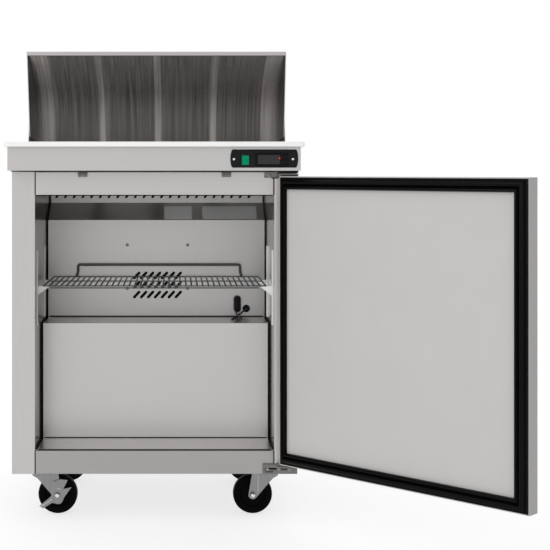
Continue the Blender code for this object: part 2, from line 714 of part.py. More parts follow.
def build_pan(name, centre, parent):
    """Tapered sheet-metal pan with a flat rim."""
    origin = add_empty(f"{name}_place", (centre[0], centre[1], WORKTOP_TOP + GAP), parent)
    wall = PAN_SHEET
    half = (PAN_SIZE_X / 2 - GAP, PAN_SIZE_Y / 2 - GAP)
    body = (half[0] - PAN_RIM, half[1] - PAN_RIM)
    taper = PAN_TAPER
    shape = bmesh.new()
    rim_corner, body_corner = PAN_CORNERS
    # Each section: half width in X, half width in Y, corner radius, height.
    sections = [(half[0], half[1], rim_corner, 0), (half[0], half[1], rim_corner, wall),
                (body[0] - wall, body[1] - wall, body_corner, wall),
                (body[0] - taper - wall, body[1] - taper - wall, body_corner, -PAN_DEPTH + wall),
                (body[0] - taper, body[1] - taper, body_corner, -PAN_DEPTH), (body[0], body[1], body_corner, 0)]
    rings = []
    for half_x, half_y, radius, height in sections:
        outline = rounded_outline(-half_x, half_x, -half_y, half_y, radius, 3)
        rings.append([shape.verts.new((x, y, height)) for x, y in outline])
    count = len(rings[0])
    for near, far in ((0, 1), (1, 2), (2, 3), (4, 5), (5, 0)):
        for index in range(count):
            after = (index + 1) % count
            shape.faces.new((rings[near][index], rings[near][after], rings[far][after], rings[far][index]))
    shape.faces.new(rings[3])
    shape.faces.new(rings[4])
    pan = add_object(name, shape, stainless(), origin)
    shade_round(pan)


def build_pans(parent):
    west, _, south, _ = pan_well()
    for row in range(PAN_ROWS):
        for column in range(PAN_COLUMNS):
            centre = (west + (column + 0.5) * PAN_SIZE_X, south + (row + 0.5) * PAN_SIZE_Y)
            build_pan(f"food_pan_{row * PAN_COLUMNS + column + 1}", centre, parent)


# ------------------------------------------------------------------ door
def build_door(parent):
    pivot = add_empty("door_axis", (*DOOR_PIVOT, 0), parent)
    hang = add_empty("door_hang", (-DOOR_PIVOT[0], -DOOR_PIVOT[1], 0), pivot)
    xs = [DOOR_LEFT, DOOR_LEFT + SHEET, HANDLE_X[0], HANDLE_X[1], DOOR_RIGHT - SHEET, DOOR_RIGHT]
    xs[2:2] = [DOOR_LEFT + DOOR_FLANGE]
    xs[5:5] = [DOOR_RIGHT - DOOR_FLANGE]
    ys = [DOOR_OUTER, DOOR_OUTER + SHEET, DOOR_INNER - SHEET, DOOR_INNER]
    zs = [DOOR_BOTTOM, DOOR_BOTTOM + SHEET, DOOR_BOTTOM + DOOR_FLANGE, *HANDLE_Z, DOOR_TOP - DOOR_FLANGE,
          DOOR_TOP - SHEET, DOOR_TOP]
    last_x = len(xs) - 2
    last_z = len(zs) - 2

    def is_skin(i, j, k):
        if j == 0:
            return not (i == 3 and k == 3)
        if j == 1:
            return i in (0, last_x) or k in (0, last_z)
        return i <= 1 or i >= last_x - 1 or k <= 1 or k >= last_z - 1

    skin = cell_solid("door_outer_skin", (xs, ys, zs), is_skin, stainless(), hang)
    inset = SHEET + GAP
    foam_x = [DOOR_LEFT + inset, HANDLE_X[0] - 0.0015, HANDLE_X[1] + 0.0015, DOOR_RIGHT - inset]
    foam_y = [DOOR_OUTER + inset, DOOR_OUTER + HANDLE_DEPTH + 0.0023, DOOR_INNER - 0.0018]
    foam_z = [DOOR_BOTTOM + inset, HANDLE_Z[0] - 0.0015, HANDLE_Z[1] + 0.0015, DOOR_TOP - inset]

    def is_foam(i, j, k):
        return not (i == 1 and j == 0 and k == 1)

    core = cell_solid("door_insulation", (foam_x, foam_y, foam_z), is_foam, foam(), hang)
    bores = bmesh.new()
    for low, high in ((DOOR_BOTTOM - 0.01, DOOR_BOTTOM + 0.014), (DOOR_TOP - 0.014, DOOR_TOP + 0.01)):
        bore = [(DOOR_PIVOT[0] + (PIN_RADIUS + 0.0005) * math.cos(2 * math.pi * step / 16),
                 DOOR_PIVOT[1] + (PIN_RADIUS + 0.0005) * math.sin(2 * math.pi * step / 16))
                for step in range(16)]
        prism_shape(bore, 2, low, high, bores)
    cutter = add_object("hinge_bores", bores, black_plastic(), hang)
    combine(skin, cutter)
    combine(core, cutter)
    edge = DOOR_FLANGE + GAP
    box("door_inner_panel", (DOOR_LEFT + edge, DOOR_INNER - 0.0015, DOOR_BOTTOM + edge),
        (DOOR_RIGHT - edge, DOOR_INNER, DOOR_TOP - edge), material("door_liner", (0.62, 0.61, 0.60), 0.45, 0.0),
        hang)
    wall = HANDLE_WALL
    grip_x = [HANDLE_X[0] + GAP, HANDLE_X[0] + wall, HANDLE_X[1] - wall, HANDLE_X[1] - GAP]
    grip_z = [HANDLE_Z[0] + GAP, HANDLE_Z[0] + wall, HANDLE_Z[1] - wall, HANDLE_Z[1] - GAP]
    grip_y = [DOOR_OUTER, DOOR_OUTER + HANDLE_DEPTH, DOOR_OUTER + HANDLE_DEPTH + wall]

    def is_cup(i, j, k):
        return j == 1 or not (i == 1 and k == 1)

    cell_solid("door_handle", (grip_x, grip_y, grip_z), is_cup, black_plastic(), hang)
    low = (DOOR_LEFT + GASKET_INSET, DOOR_BOTTOM + GASKET_INSET)
    high = (DOOR_RIGHT - GASKET_INSET, DOOR_TOP - GASKET_INSET)
    ring_x = [low[0], low[0] + GASKET_WIDTH, high[0] - GASKET_HINGE_WIDTH, high[0]]
    ring_z = [low[1], low[1] + GASKET_WIDTH, high[1] - GASKET_WIDTH, high[1]]

    def is_ring(i, j, k):
        return not (i == 1 and k == 1)

    gasket = cell_solid("door_gasket", (ring_x, [DOOR_INNER + GAP, DOOR_INNER + GASKET_DEPTH], ring_z), is_ring,
                        material("gasket_black", (0.015, 0.015, 0.015), 0.3, 0.0), hang)
    add_bevel(gasket, 0.003)
    pivot.rotation_euler.z = DOOR_OPEN_ANGLE


def build_hinges(parent):
    """L-shaped brackets screwed to the header and the sill, each holding a pin in the door's end."""
    for side, left, low, high, arm_low, arm_high in HINGES:
        bracket = box(f"hinge_bracket_{side}", (left, HINGE_FACE, low), (BODY_HALF, -GAP, high), stainless(),
                      parent)
        arm = box(f"hinge_arm_{side}", (left + 0.034, DOOR_PIVOT[1] - HINGE_REACH, arm_low),
                  (BODY_HALF - 0.0002, -0.0015, arm_high), stainless(), parent)
        combine(bracket, arm, "UNION")
        middle = (arm_low + arm_high) / 2
        pin_end = DOOR_TOP - PIN_DEPTH if side == "top" else DOOR_BOTTOM + PIN_DEPTH
        pin_low, pin_high = sorted((pin_end, middle))
        profile = [(0, pin_low), (PIN_RADIUS, pin_low), (PIN_RADIUS, pin_high), (0, pin_high)]
        pin = add_object(f"hinge_pin_{side}", turned_shape(profile, (*DOOR_PIVOT, 0), 2, 16), stainless(), parent)
        combine(bracket, pin, "UNION")


# ------------------------------------------------------------------ shelf
def build_shelf(parent):
    """Welded wire shelf: fore-and-aft wires on cross wires, with a raised rail along the back."""
    pitch = (2 * SHELF_HALF - SHELF_WIRE) / (SHELF_WIRES - 1)
    xs = []
    for index in range(SHELF_WIRES):
        start = -SHELF_HALF + index * pitch
        xs += [start, start + SHELF_WIRE]
    middle = (SHELF_FRONT + SHELF_BACK) / 2
    ys = [SHELF_FRONT, SHELF_FRONT + SHELF_WIRE, middle, middle + SHELF_WIRE, SHELF_BACK - SHELF_WIRE, SHELF_BACK]
    low = SHELF_HEIGHT - SHELF_WIRE
    rail = SHELF_HEIGHT + SHELF_RAIL_RISE
    zs = [low, SHELF_HEIGHT, rail - SHELF_WIRE, rail]
    rail_from, rail_to = (2 * wire for wire in SHELF_RAIL_WIRES)

    def is_wire(i, j, k):
        if k == 0:
            return i % 2 == 0 or j % 2 == 0
        if j != 4:
            return False
        if k == 1:
            return i in (rail_from, rail_to)
        return rail_from <= i <= rail_to

    cell_solid("wire_shelf", (xs, ys, zs), is_wire, material("shelf_wire", (0.55, 0.55, 0.55), 0.35, 0.8), parent)
    for sign in (-1, 1):
        side = "left" if sign < 0 else "right"
        wall = sign * (BODY_HALF - WALL - GAP)
        strip = wall - sign * 0.004
        reach = sign * (SHELF_HALF - 0.012)
        rest = low - GAP
        outline = [(wall, PILASTER_BOTTOM), (strip, PILASTER_BOTTOM), (strip, rest - 0.020),
                   (reach, rest - 0.003), (reach, rest), (strip, rest), (strip, PILASTER_TOP),
                   (wall, PILASTER_TOP)]
        for place, y in zip(("front", "rear"), PILASTER_Y):
            prism(f"shelf_pilaster_{place}_{side}", outline, 1, y - 0.009, y + 0.009,
                  material("pilaster", (0.75, 0.75, 0.74), 0.4, 0.6), parent)


# ------------------------------------------------------------------ casters
def fork_outline(trail, top):
    """Fork leg seen from the side: wide at the crown, tapering to a round end at the axle."""
    sign = 1 if trail > 0 else -1
    end = arc((trail, WHEEL_RADIUS), FORK_END, -150, -10, 8)
    if sign < 0:
        end = [(2 * trail - x, z) for x, z in end]
    flare = [(-FORK_TOP[0], top), *FORK_FLARE]
    return [*((sign * x, z) for x, z in flare), *end, (trail + sign * FORK_TOP[1], top)]


def build_caster(place, sign, y, parent):
    """Swivel caster: plate with its raceway, fork with the axle, and the wheel."""
    swivel = add_empty(f"swivel_{place}", (sign * SWIVEL_X, y, 0), parent)
    plate_top = BODY_BOTTOM - GAP
    half_x, half_y, thickness = CASTER_PLATE
    plate = box(f"caster_plate_{place}", (-half_x, -half_y, plate_top - thickness), (half_x, half_y, plate_top),
                zinc(), swivel)
    (low_radius, low_height), widest = RACEWAY
    race_top = plate_top - thickness / 2
    race = [(0, low_height), (low_radius, low_height), widest, (low_radius, race_top), (0, race_top)]
    combine(plate, add_object(f"raceway_{place}", turned_shape(race, (0, 0, 0), 2), zinc(), swivel), "UNION")
    shade_round(plate)
    crown_low = WHEEL_RADIUS * 2 + 0.0025
    trail = -sign * CASTER_TRAIL
    crown = [(0, crown_low), (CROWN_RADIUS - 0.002, crown_low), (CROWN_RADIUS, CROWN_TOP - 0.002),
             (CROWN_RADIUS - 0.003, CROWN_TOP), (0, CROWN_TOP)]
    fork = add_object(f"caster_fork_{place}", turned_shape(crown, (0, 0, 0), 2), zinc(), swivel)
    shade_round(fork)
    inner = WHEEL_WIDTH / 2 + FORK_GAP
    for edge, low in (("near", -inner - FORK_LEG), ("far", inner)):
        leg = prism(f"leg_{edge}_{place}", fork_outline(trail, crown_low + 0.002), 1, low, low + FORK_LEG, zinc(),
                    swivel)
        combine(fork, leg, "UNION")
    reach = inner + FORK_LEG + 0.002
    head, thick = AXLE_HEAD
    axle = [(0, -reach), (head, -reach), (head, -reach + thick), (AXLE_RADIUS, -reach + thick),
            (AXLE_RADIUS, reach - thick), (head, reach - thick), (head, reach), (0, reach)]
    axle_piece = add_object(f"axle_{place}", turned_shape(axle, (trail, 0, WHEEL_RADIUS), 1, 12), zinc(), swivel)
    combine(fork, axle_piece, "UNION")
    half = WHEEL_WIDTH / 2
    inset, shoulder = WHEEL_SHOULDER
    tread = [(WHEEL_RADIUS - inset, -half), (WHEEL_RADIUS, -half + shoulder), (WHEEL_RADIUS, half - shoulder),
             (WHEEL_RADIUS - inset, half), (WHEEL_BORE, half), (WHEEL_BORE, -half)]
    turned(f"caster_wheel_{place}", tread, (trail, 0, WHEEL_RADIUS), 1,
           material("wheel_black", (0.012, 0.012, 0.012), 0.5, 0.0), swivel, 32)
    return swivel


def build_brake(swivel):
    """Brake pedal on the outside of a fork, turning about the axle line."""
    pivot = add_empty("brake_axis", (CASTER_TRAIL, 0, WHEEL_RADIUS), swivel)
    front = -(WHEEL_WIDTH / 2 + FORK_GAP + FORK_LEG + GAP)
    pedal = prism("brake_lever", BRAKE_OUTLINE, 1, front - BRAKE_THICKNESS, front, zinc(), pivot)
    ring = [(0, front - 0.02), (0.0072, front - 0.02), (0.0072, front + 0.02), (0, front + 0.02)]
    combine(pedal, add_object("lever_bore", turned_shape(ring, (0, 0, 0), 1, 16), zinc(), pivot))


def build_casters(parent):
    for sign, side in ((-1, "left"), (1, "right")):
        for y, place in zip(SWIVEL_Y, ("front", "rear")):
            swivel = build_caster(f"{place}_{side}", sign, y, parent)
            if (side, place) == ("left", "front"):
                build_brake(swivel)


# ------------------------------------------------------------------ assembly
def centre_on_floor(root):
    """Move the whole assembly so that the bottom centre of its box is the origin."""
    bpy.context.view_layer.update()
    depsgraph = bpy.context.evaluated_depsgraph_get()
    corners = []
    for piece in bpy.data.objects:
        if piece.type == "MESH" and not piece.hide_render:
            ready = piece.evaluated_get(depsgraph)
            corners += [ready.matrix_world @ vertex.co for vertex in ready.data.vertices]
    low = [min(point[axis] for point in corners) for axis in range(3)]
    high = [max(point[axis] for point in corners) for axis in range(3)]
    root.location = (-(low[0] + high[0]) / 2, -(low[1] + high[1]) / 2, -low[2])


def main():
    clear_scene()
    root = add_empty("cabinet_origin", (0, 0, 0))
    build_shell(root)
    build_rear_grille(root)
    build_evaporator(root)
    build_machine(root)
    build_worktop(root)
    build_controls(root)
    build_board(root)
    build_lid(root)
    build_hood(root)
    build_pans(root)
    build_door(root)
    build_hinges(root)
    build_shelf(root)
    build_casters(root)
    centre_on_floor(root)


main()
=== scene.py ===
"""Looks of the refrigerated prep table: materials, fine detail, studio and camera.

Work coordinates, as in the drawings: X = 0 on the cabinet's centre plane, Y = 0 on the face of its
front stiles, Z = 0 on the floor, in metres.
"""
import json
import math

import bmesh
import bpy
from mathutils import Matrix, Vector


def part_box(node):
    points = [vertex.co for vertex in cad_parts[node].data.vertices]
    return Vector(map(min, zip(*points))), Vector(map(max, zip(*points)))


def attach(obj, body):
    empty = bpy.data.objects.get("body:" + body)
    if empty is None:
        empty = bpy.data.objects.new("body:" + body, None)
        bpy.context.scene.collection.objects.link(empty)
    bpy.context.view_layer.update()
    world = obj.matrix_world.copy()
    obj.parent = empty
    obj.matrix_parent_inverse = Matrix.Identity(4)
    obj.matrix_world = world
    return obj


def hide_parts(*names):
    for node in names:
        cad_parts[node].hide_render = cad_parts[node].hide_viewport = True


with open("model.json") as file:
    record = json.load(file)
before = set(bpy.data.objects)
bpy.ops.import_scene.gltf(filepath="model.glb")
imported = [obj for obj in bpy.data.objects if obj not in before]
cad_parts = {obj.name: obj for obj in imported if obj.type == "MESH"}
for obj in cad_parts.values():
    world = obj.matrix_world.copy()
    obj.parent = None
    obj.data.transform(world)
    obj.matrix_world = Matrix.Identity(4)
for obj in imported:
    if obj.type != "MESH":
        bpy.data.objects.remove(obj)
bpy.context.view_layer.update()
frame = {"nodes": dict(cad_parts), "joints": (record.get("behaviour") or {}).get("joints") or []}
nodes = frame["nodes"]

ORIGIN = Vector(((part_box("worktop")[0].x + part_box("worktop")[1].x) / 2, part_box("front_sill")[0].y, 0))
CORNERS = [f"{place}_{side}" for place in ("front", "rear") for side in ("left", "right")]
PANS = [f"food_pan_{number}" for number in range(1, 9)]
QUARTERS = [(-1, -1), (1, -1), (1, 1), (-1, 1)]     # signs of a rectangle's corners, in order round it
GAP = 0.0001                 # clearance between a fitted piece and the sheet it lies on


def at(x, y, z):
    """A point given in work coordinates, in the frame."""
    return ORIGIN + Vector((x, y, z))


def span(node):
    """Lowest and highest corner of a CAD node, in work coordinates."""
    low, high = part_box(node)
    return low - ORIGIN, high - ORIGIN


# ------------------------------------------------------------------ materials
def new_material(name, roughness, metallic, **constants):
    """Material with its shader's constant sockets set; returns it with its tree and shader."""
    made = bpy.data.materials.new(name)
    made.use_nodes = True
    shader = made.node_tree.nodes["Principled BSDF"]
    shader.inputs["Roughness"].default_value = roughness
    shader.inputs["Metallic"].default_value = metallic
    for socket, value in constants.items():
        shader.inputs[socket.replace("_", " ")].default_value = value
    return made, made.node_tree, shader


def add_noise(tree, scale, stretch=(1, 1, 1), detail=4.0, roughness=0.55):
    """Noise over the object's own coordinates; returns its Fac output."""
    coords = tree.nodes.new("ShaderNodeTexCoord")
    mapping = tree.nodes.new("ShaderNodeMapping")
    mapping.inputs["Scale"].default_value = stretch
    noise = tree.nodes.new("ShaderNodeTexNoise")
    noise.inputs["Scale"].default_value = scale
    noise.inputs["Detail"].default_value = detail
    noise.inputs["Roughness"].default_value = roughness
    tree.links.new(coords.outputs["Object"], mapping.inputs["Vector"])
    tree.links.new(mapping.outputs["Vector"], noise.inputs["Vector"])
    return noise.outputs["Fac"]


def map_range(tree, source, low, high, start=0.3, end=0.7):
    """An output rescaled, from start to end, into low to high."""
    node = tree.nodes.new("ShaderNodeMapRange")
    node.inputs["From Min"].default_value = start
    node.inputs["From Max"].default_value = end
    node.inputs["To Min"].default_value = low
    node.inputs["To Max"].default_value = high
    tree.links.new(source, node.inputs["Value"])
    return node.outputs["Result"]


def mix_colours(tree, factor, dark, light):
    """Colour between a dark and a light one, by a factor output."""
    node = tree.nodes.new("ShaderNodeMix")
    node.data_type = "RGBA"
    node.inputs["A"].default_value = (*dark, 1)
    node.inputs["B"].default_value = (*light, 1)
    tree.links.new(factor, node.inputs["Factor"])
    return node.outputs["Result"]


def calculate(tree, operation, first, second):
    """Maths node on an output and on a second output or number."""
    node = tree.nodes.new("ShaderNodeMath")
    node.operation = operation
    tree.links.new(first, node.inputs[0])
    if isinstance(second, (int, float)):
        node.inputs[1].default_value = second
    else:
        tree.links.new(second, node.inputs[1])
    return node.outputs["Value"]


def facing(direction):
    """Mask of the faces that look along a direction in the rest pose, where painted light or shade goes."""
    def mask(tree):
        coords = tree.nodes.new("ShaderNodeTexCoord")
        product = tree.nodes.new("ShaderNodeVectorMath")
        product.operation = "DOT_PRODUCT"
        product.inputs[1].default_value = direction
        tree.links.new(coords.outputs["Normal"], product.inputs[0])
        return map_range(tree, product.outputs["Value"], 0, 1, 0.4, 0.7)
    return mask


def inward(tree):
    """Mask of the faces that look towards the cabinet's middle in the rest pose, where painted shade goes on
    the hood's cheeks.
    """
    coords = tree.nodes.new("ShaderNodeTexCoord")
    place, normal = (tree.nodes.new("ShaderNodeSeparateXYZ") for _ in range(2))
    tree.links.new(coords.outputs["Object"], place.inputs["Vector"])
    tree.links.new(coords.outputs["Normal"], normal.inputs["Vector"])
    across = calculate(tree, "SUBTRACT", place.outputs["X"], ORIGIN.x)
    return map_range(tree, calculate(tree, "MULTIPLY", across, normal.outputs["X"]), 1, 0, -0.2, -0.05)


def upright_bands(pitch, half, edge):
    """Mask of upright bands a pitch apart about the cabinet's centre, and of all that is past an edge, where
    painted reflections go.
    """
    def mask(tree):
        coords = tree.nodes.new("ShaderNodeTexCoord")
        parts = tree.nodes.new("ShaderNodeSeparateXYZ")
        tree.links.new(coords.outputs["Object"], parts.inputs["Vector"])
        across = calculate(tree, "SUBTRACT", parts.outputs["X"], ORIGIN.x)
        fold = calculate(tree, "PINGPONG", across, pitch / 2)
        band = map_range(tree, fold, 1, 0, half * 0.6, half * 1.4)
        far = calculate(tree, "ABSOLUTE", across, 0)
        return calculate(tree, "MAXIMUM", band, map_range(tree, far, 0, 1, edge - 0.003, edge + 0.003))
    return mask


def bump(tree, shader, height, strength, distance):
    """Bump the shader's normal by a height output."""
    node = tree.nodes.new("ShaderNodeBump")
    node.inputs["Strength"].default_value = strength
    node.inputs["Distance"].default_value = distance
    tree.links.new(height, node.inputs["Height"])
    tree.links.new(node.outputs["Normal"], shader.inputs["Normal"])


GRAIN_STRETCH = {"x": (1.2, 90, 90), "y": (90, 1.2, 90), "z": (90, 90, 1.2), "yz": (90, 1.2, 1.2)}


def brushed(name, colour, roughness, along="z", contrast=0.10, grain_bump=0.06, shade=1.0, mask=None,
            grain_scale=12, **constants):
    """Brushed sheet metal with its grain along one axis; shade scales the tone where the mask is 1, as
    painted light above 1 and painted shade below 1.
    """
    made, tree, shader = new_material(name, roughness, 1.0, **constants)
    grain = add_noise(tree, grain_scale, GRAIN_STRETCH[along], 3.0, 0.65)
    cloud = add_noise(tree, 5, (1, 1, 1), 4.0)
    dark = tuple(value * (1 - contrast) for value in colour)
    light = tuple(min(value * (1 + contrast), 1) for value in colour)
    tone = mix_colours(tree, map_range(tree, grain, 0, 1), dark, light)
    if mask:
        shaded = tree.nodes.new("ShaderNodeMix")
        shaded.data_type = "RGBA"
        shaded.blend_type = "MULTIPLY"
        shaded.inputs["B"].default_value = (shade, shade, shade, 1)
        tree.links.new(mask(tree), shaded.inputs["Factor"])
        tree.links.new(tone, shaded.inputs["A"])
        tone = shaded.outputs["Result"]
    tree.links.new(tone, shader.inputs["Base Color"])
    spread = min(contrast, 0.06)
    rough = calculate(tree, "ADD", map_range(tree, grain, roughness - spread, roughness + spread),
                      map_range(tree, cloud, -0.004, 0.008))
    tree.links.new(rough, shader.inputs["Roughness"])
    bump(tree, shader, grain, grain_bump, 0.0004)
    if "Anisotropic" in constants:      # one tangent everywhere, so that the sheen stays straight
        across = tree.nodes.new("ShaderNodeCombineXYZ")
        across.inputs["X"].default_value = 1.0
        tree.links.new(across.outputs["Vector"], shader.inputs["Tangent"])
    return made


def moulded(name, colour, roughness, grain_scale=900, grain_bump=0.12, metallic=0.0, **constants):
    """Moulded plastic, rubber or paint: fine grain, slight tone and gloss variation."""
    made, tree, shader = new_material(name, roughness, metallic, **constants)
    cloud = add_noise(tree, 9, (1, 1, 1), 5.0)
    dark = tuple(value * 0.985 for value in colour)
    light = tuple(min(value * 1.015, 1) for value in colour)
    colour_mix = mix_colours(tree, map_range(tree, cloud, 0, 1), dark, light)
    rough = map_range(tree, cloud, max(roughness - 0.03, 0.02), roughness + 0.03)
    tree.links.new(colour_mix, shader.inputs["Base Color"])
    tree.links.new(rough, shader.inputs["Roughness"])
    bump(tree, shader, add_noise(tree, grain_scale, (1, 1, 1), 2.0), grain_bump, 0.0002)
    return made


STEEL = (0.515, 0.500, 0.492)
UP = (0, 0, 1)
FORWARD = (0, -1, 0)
DOOR_EDGE = (0.7071, -0.7071, 0)    # the way the open door's free edge looks
FINISHES = {
    "steel_vertical": brushed("steel_vertical", STEEL, 0.34, "z", 0.05, 0.03),
    "steel_across": brushed("steel_across", STEEL, 0.34, "x", 0.04, 0.02),
    # The hood's cheeks are painted much darker on their inner faces: painted shade.
    "hood_shell": brushed("hood_shell", STEEL, 0.34, "x", 0.04, 0.02, 0.16, inward),
    # The right side panel's forward-facing faces are painted brighter: painted light.
    "stile_right": brushed("stile_right", STEEL, 0.34, "z", 0.05, 0.03, 1.30, facing(FORWARD)),
    # The door skin's free edge is painted darker: painted shade.
    "door_skin": brushed("door_skin", STEEL, 0.34, "z", 0.05, 0.03, 0.62, facing(DOOR_EDGE)),
    "steel_sill": brushed("steel_sill", (0.36, 0.350, 0.345), 0.34, "x", 0.04, 0.02),
    "liner": brushed("liner_sheet", (0.46, 0.452, 0.448), 0.16, "z", 0.04, 0.02),
    "liner_shaded": brushed("liner_shaded", (0.078, 0.073, 0.070), 0.20, "z", 0.06, 0.02),
    # The floor's up-facing faces are painted brighter: painted light.
    "liner_across": brushed("liner_across", (0.50, 0.488, 0.482), 0.30, "x", 0.008, 0.003, 1.45, facing(UP)),
    # The cover's up-facing faces are painted brighter: painted light.
    "cover": brushed("cover_sheet", (0.53, 0.520, 0.513), 0.44, "x", 0.010, 0.005, 1.40, facing(UP)),
    "galvanised": moulded("galvanised_sheet", (0.42, 0.43, 0.44), 0.45, 60, 0.08, 0.9),
    "foam": moulded("foam", (0.80, 0.72, 0.48), 0.9, 300, 0.4),
    "board": moulded("board_polyethylene", (0.80, 0.80, 0.795), 0.42, 1400, 0.20),
    "black": moulded("black_plastic", (0.010, 0.010, 0.011), 0.42, Specular_IOR_Level=0.12),
    "bezel": moulded("bezel_grey", (0.008, 0.008, 0.009), 0.46, Specular_IOR_Level=0.12),
    "gloss_black": moulded("controller_gloss", (0.003, 0.003, 0.0035), 0.12, 900, 0.02,
                          Specular_IOR_Level=0.10),
    "glass": moulded("display_glass", (0.014, 0.012, 0.014), 0.06, 900, 0.01, Specular_IOR_Level=0.35),
    "green": moulded("switch_green", (0.0, 0.21, 0.095), 0.30, 900, 0.03, Specular_IOR_Level=0.06,
                     Emission_Color=(0.0, 0.5, 0.25, 1), Emission_Strength=0.06),
    "red_light": moulded("indicator_red", (0.45, 0.01, 0.01), 0.20, 900, 0.02,
                         Emission_Color=(1, 0.03, 0.02, 1), Emission_Strength=0.6),
    "gasket": moulded("gasket_vinyl", (0.002, 0.002, 0.002), 0.22, 500, 0.05, Specular_IOR_Level=0.07),
    "door_liner": moulded("door_liner", (0.495, 0.481, 0.472), 0.40, 700, 0.05),
    "wire": moulded("shelf_coating", (0.085, 0.084, 0.083), 0.34, 500, 0.05, 0.7),
    # Lit and shaded copies of one clip plastic: painted shade on the left clips, painted light on the right
    # ones.
    "clip_left": moulded("clip_left", (0.40, 0.395, 0.385), 0.40),
    "clip_right": moulded("clip_right", (0.78, 0.78, 0.77), 0.40),
    "label": moulded("blank_label", (0.93, 0.93, 0.93), 0.50),
    "cable": moulded("cable_sheath", (0.035, 0.035, 0.037), 0.40, Specular_IOR_Level=0.30),
    # Lit and shaded copies of one pilaster steel: painted shade on the left pilasters, painted light on the
    # right ones.
    "pilaster_left": brushed("pilaster_left", (0.44, 0.43, 0.42), 0.30, "z", 0.04, 0.02),
    "pilaster_right": brushed("pilaster_right", (0.74, 0.74, 0.73), 0.30, "z", 0.04, 0.02),
    "fins": brushed("coil_fins", (0.62, 0.63, 0.65), 0.35, "z", 0.25, 0.5),
    "copper": moulded("copper_pipe", (0.72, 0.36, 0.22), 0.28, 200, 0.06, 1.0),
    "compressor": moulded("compressor_paint", (0.015, 0.015, 0.016), 0.30),
    "zinc": brushed("zinc_plate", (0.25, 0.25, 0.252), 0.30, "z", 0.16, 0.20),
    "hinge_zinc": brushed("hinge_zinc", (0.17, 0.165, 0.158), 0.30, "x", 0.35, 0.20, grain_scale=4),
    "bright": moulded("polished_steel", (0.70, 0.70, 0.69), 0.18, 350, 0.04, 1.0),
    "wheel": moulded("wheel_rubber", (0.0015, 0.0015, 0.0015), 0.45, 800, 0.15, Specular_IOR_Level=0.03),
    "pan": brushed("pan_steel", (0.56, 0.56, 0.55), 0.28, "x", 0.05, 0.02),
    # Steel darkened as painted shade, with painted reflections of the pan dividers as lighter upright bands
    # and lighter again past 0.300 from the middle.
    "hood_inner": brushed("hood_inner", (0.33, 0.312, 0.300), 0.36, "yz", 0.22, 0.01, 1.75,
                          upright_bands(0.162, 0.0085, 0.300), 2.2, Anisotropic=1.0,
                          Anisotropic_Rotation=0.25),
    # Black for dark joints and for strips and insets that paint shade in creases, slots and gaps.
    "shade": moulded("black_seams_and_painted_shade", (0.004, 0.004, 0.004), 0.6, Specular_IOR_Level=0.1),
}

NODE_FINISH = {
    "side_panel_left": "steel_vertical", "side_panel_right": "stile_right", "front_header": "steel_across",
    "front_sill": "steel_sill", "back_panel": "steel_vertical", "worktop": "steel_across",
    "hinge_bracket_top": "hinge_zinc", "hinge_bracket_bottom": "hinge_zinc", "rear_hood": "hood_shell",
    "hood_lid": "hood_shell", "door_outer_skin": "door_skin", "pan_divider": "steel_across",
    "liner_left": "liner_shaded", "liner_right": "liner", "floor_liner": "liner_across",
    "evaporator_cover": "cover",
    "insulation_left": "foam", "insulation_right": "foam", "floor_insulation": "foam",
    "door_insulation": "foam", "base_plate": "galvanised", "rear_grille": "galvanised",
    "cutting_board": "board", "control_bezel": "bezel", "temperature_controller": "gloss_black",
    "power_switch": "green", "door_handle": "black", "evaporator_fan": "black", "condenser_fan": "black",
    "door_inner_panel": "door_liner", "door_gasket": "gasket", "wire_shelf": "wire",
    "evaporator_coil": "fins", "compressor": "compressor", "condenser_coil": "compressor",
    "brake_lever": "zinc",
}
for corner in CORNERS:
    NODE_FINISH[f"shelf_pilaster_{corner}"] = f"pilaster_{corner.split('_')[1]}"
    NODE_FINISH[f"caster_plate_{corner}"] = "zinc"
    NODE_FINISH[f"caster_fork_{corner}"] = "zinc"
    NODE_FINISH[f"caster_wheel_{corner}"] = "wheel"
NODE_FINISH.update({pan: "pan" for pan in PANS})

for node, finish in NODE_FINISH.items():
    slots = nodes[node].data.materials
    slots.clear()
    slots.append(FINISHES[finish])


# ------------------------------------------------------------------ shapes
SMOOTH_ANGLE = math.radians(38)
AXES = {"x": Matrix.Rotation(math.radians(90), 3, "Y"), "y": Matrix.Rotation(math.radians(-90), 3, "X"),
        "-y": Matrix.Rotation(math.radians(90), 3, "X"), "z": Matrix.Identity(3)}


def piece(name, shape, finish, body, place=None):
    """Make the bmesh a named object that moves with a body; place turns drawing into frame coordinates."""
    bmesh.ops.remove_doubles(shape, verts=shape.verts, dist=0.000001)
    bmesh.ops.recalc_face_normals(shape, faces=shape.faces)
    mesh = bpy.data.meshes.new(name)
    shape.to_mesh(mesh)
    shape.free()
    mesh.transform(place or Matrix.Translation(ORIGIN))
    mesh.materials.append(FINISHES[finish])
    mesh.shade_smooth()
    mesh.set_sharp_from_angle(angle=SMOOTH_ANGLE)
    made = bpy.data.objects.new(name, mesh)
    bpy.context.scene.collection.objects.link(made)
    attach(made, body)
    return made


def add_slab(shape, low, high, bevel=0.0, segments=2):
    """Box between two corners with rounded edges."""
    size = Vector(high) - Vector(low)
    middle = (Vector(high) + Vector(low)) / 2
    made = bmesh.ops.create_cube(shape, size=1.0)["verts"]
    bmesh.ops.scale(shape, verts=made, vec=size)
    bmesh.ops.translate(shape, verts=made, vec=middle)
    if bevel:
        edges = {edge for vert in made for edge in vert.link_edges}
        bmesh.ops.bevel(shape, geom=list(edges), offset=bevel, segments=segments, profile=0.5,
                        affect="EDGES")
    return shape


def slab(name, low, high, finish, body, bevel=0.0008):
    """Piece that is one box with rounded edges."""
    return piece(name, add_slab(bmesh.new(), low, high, bevel), finish, body)


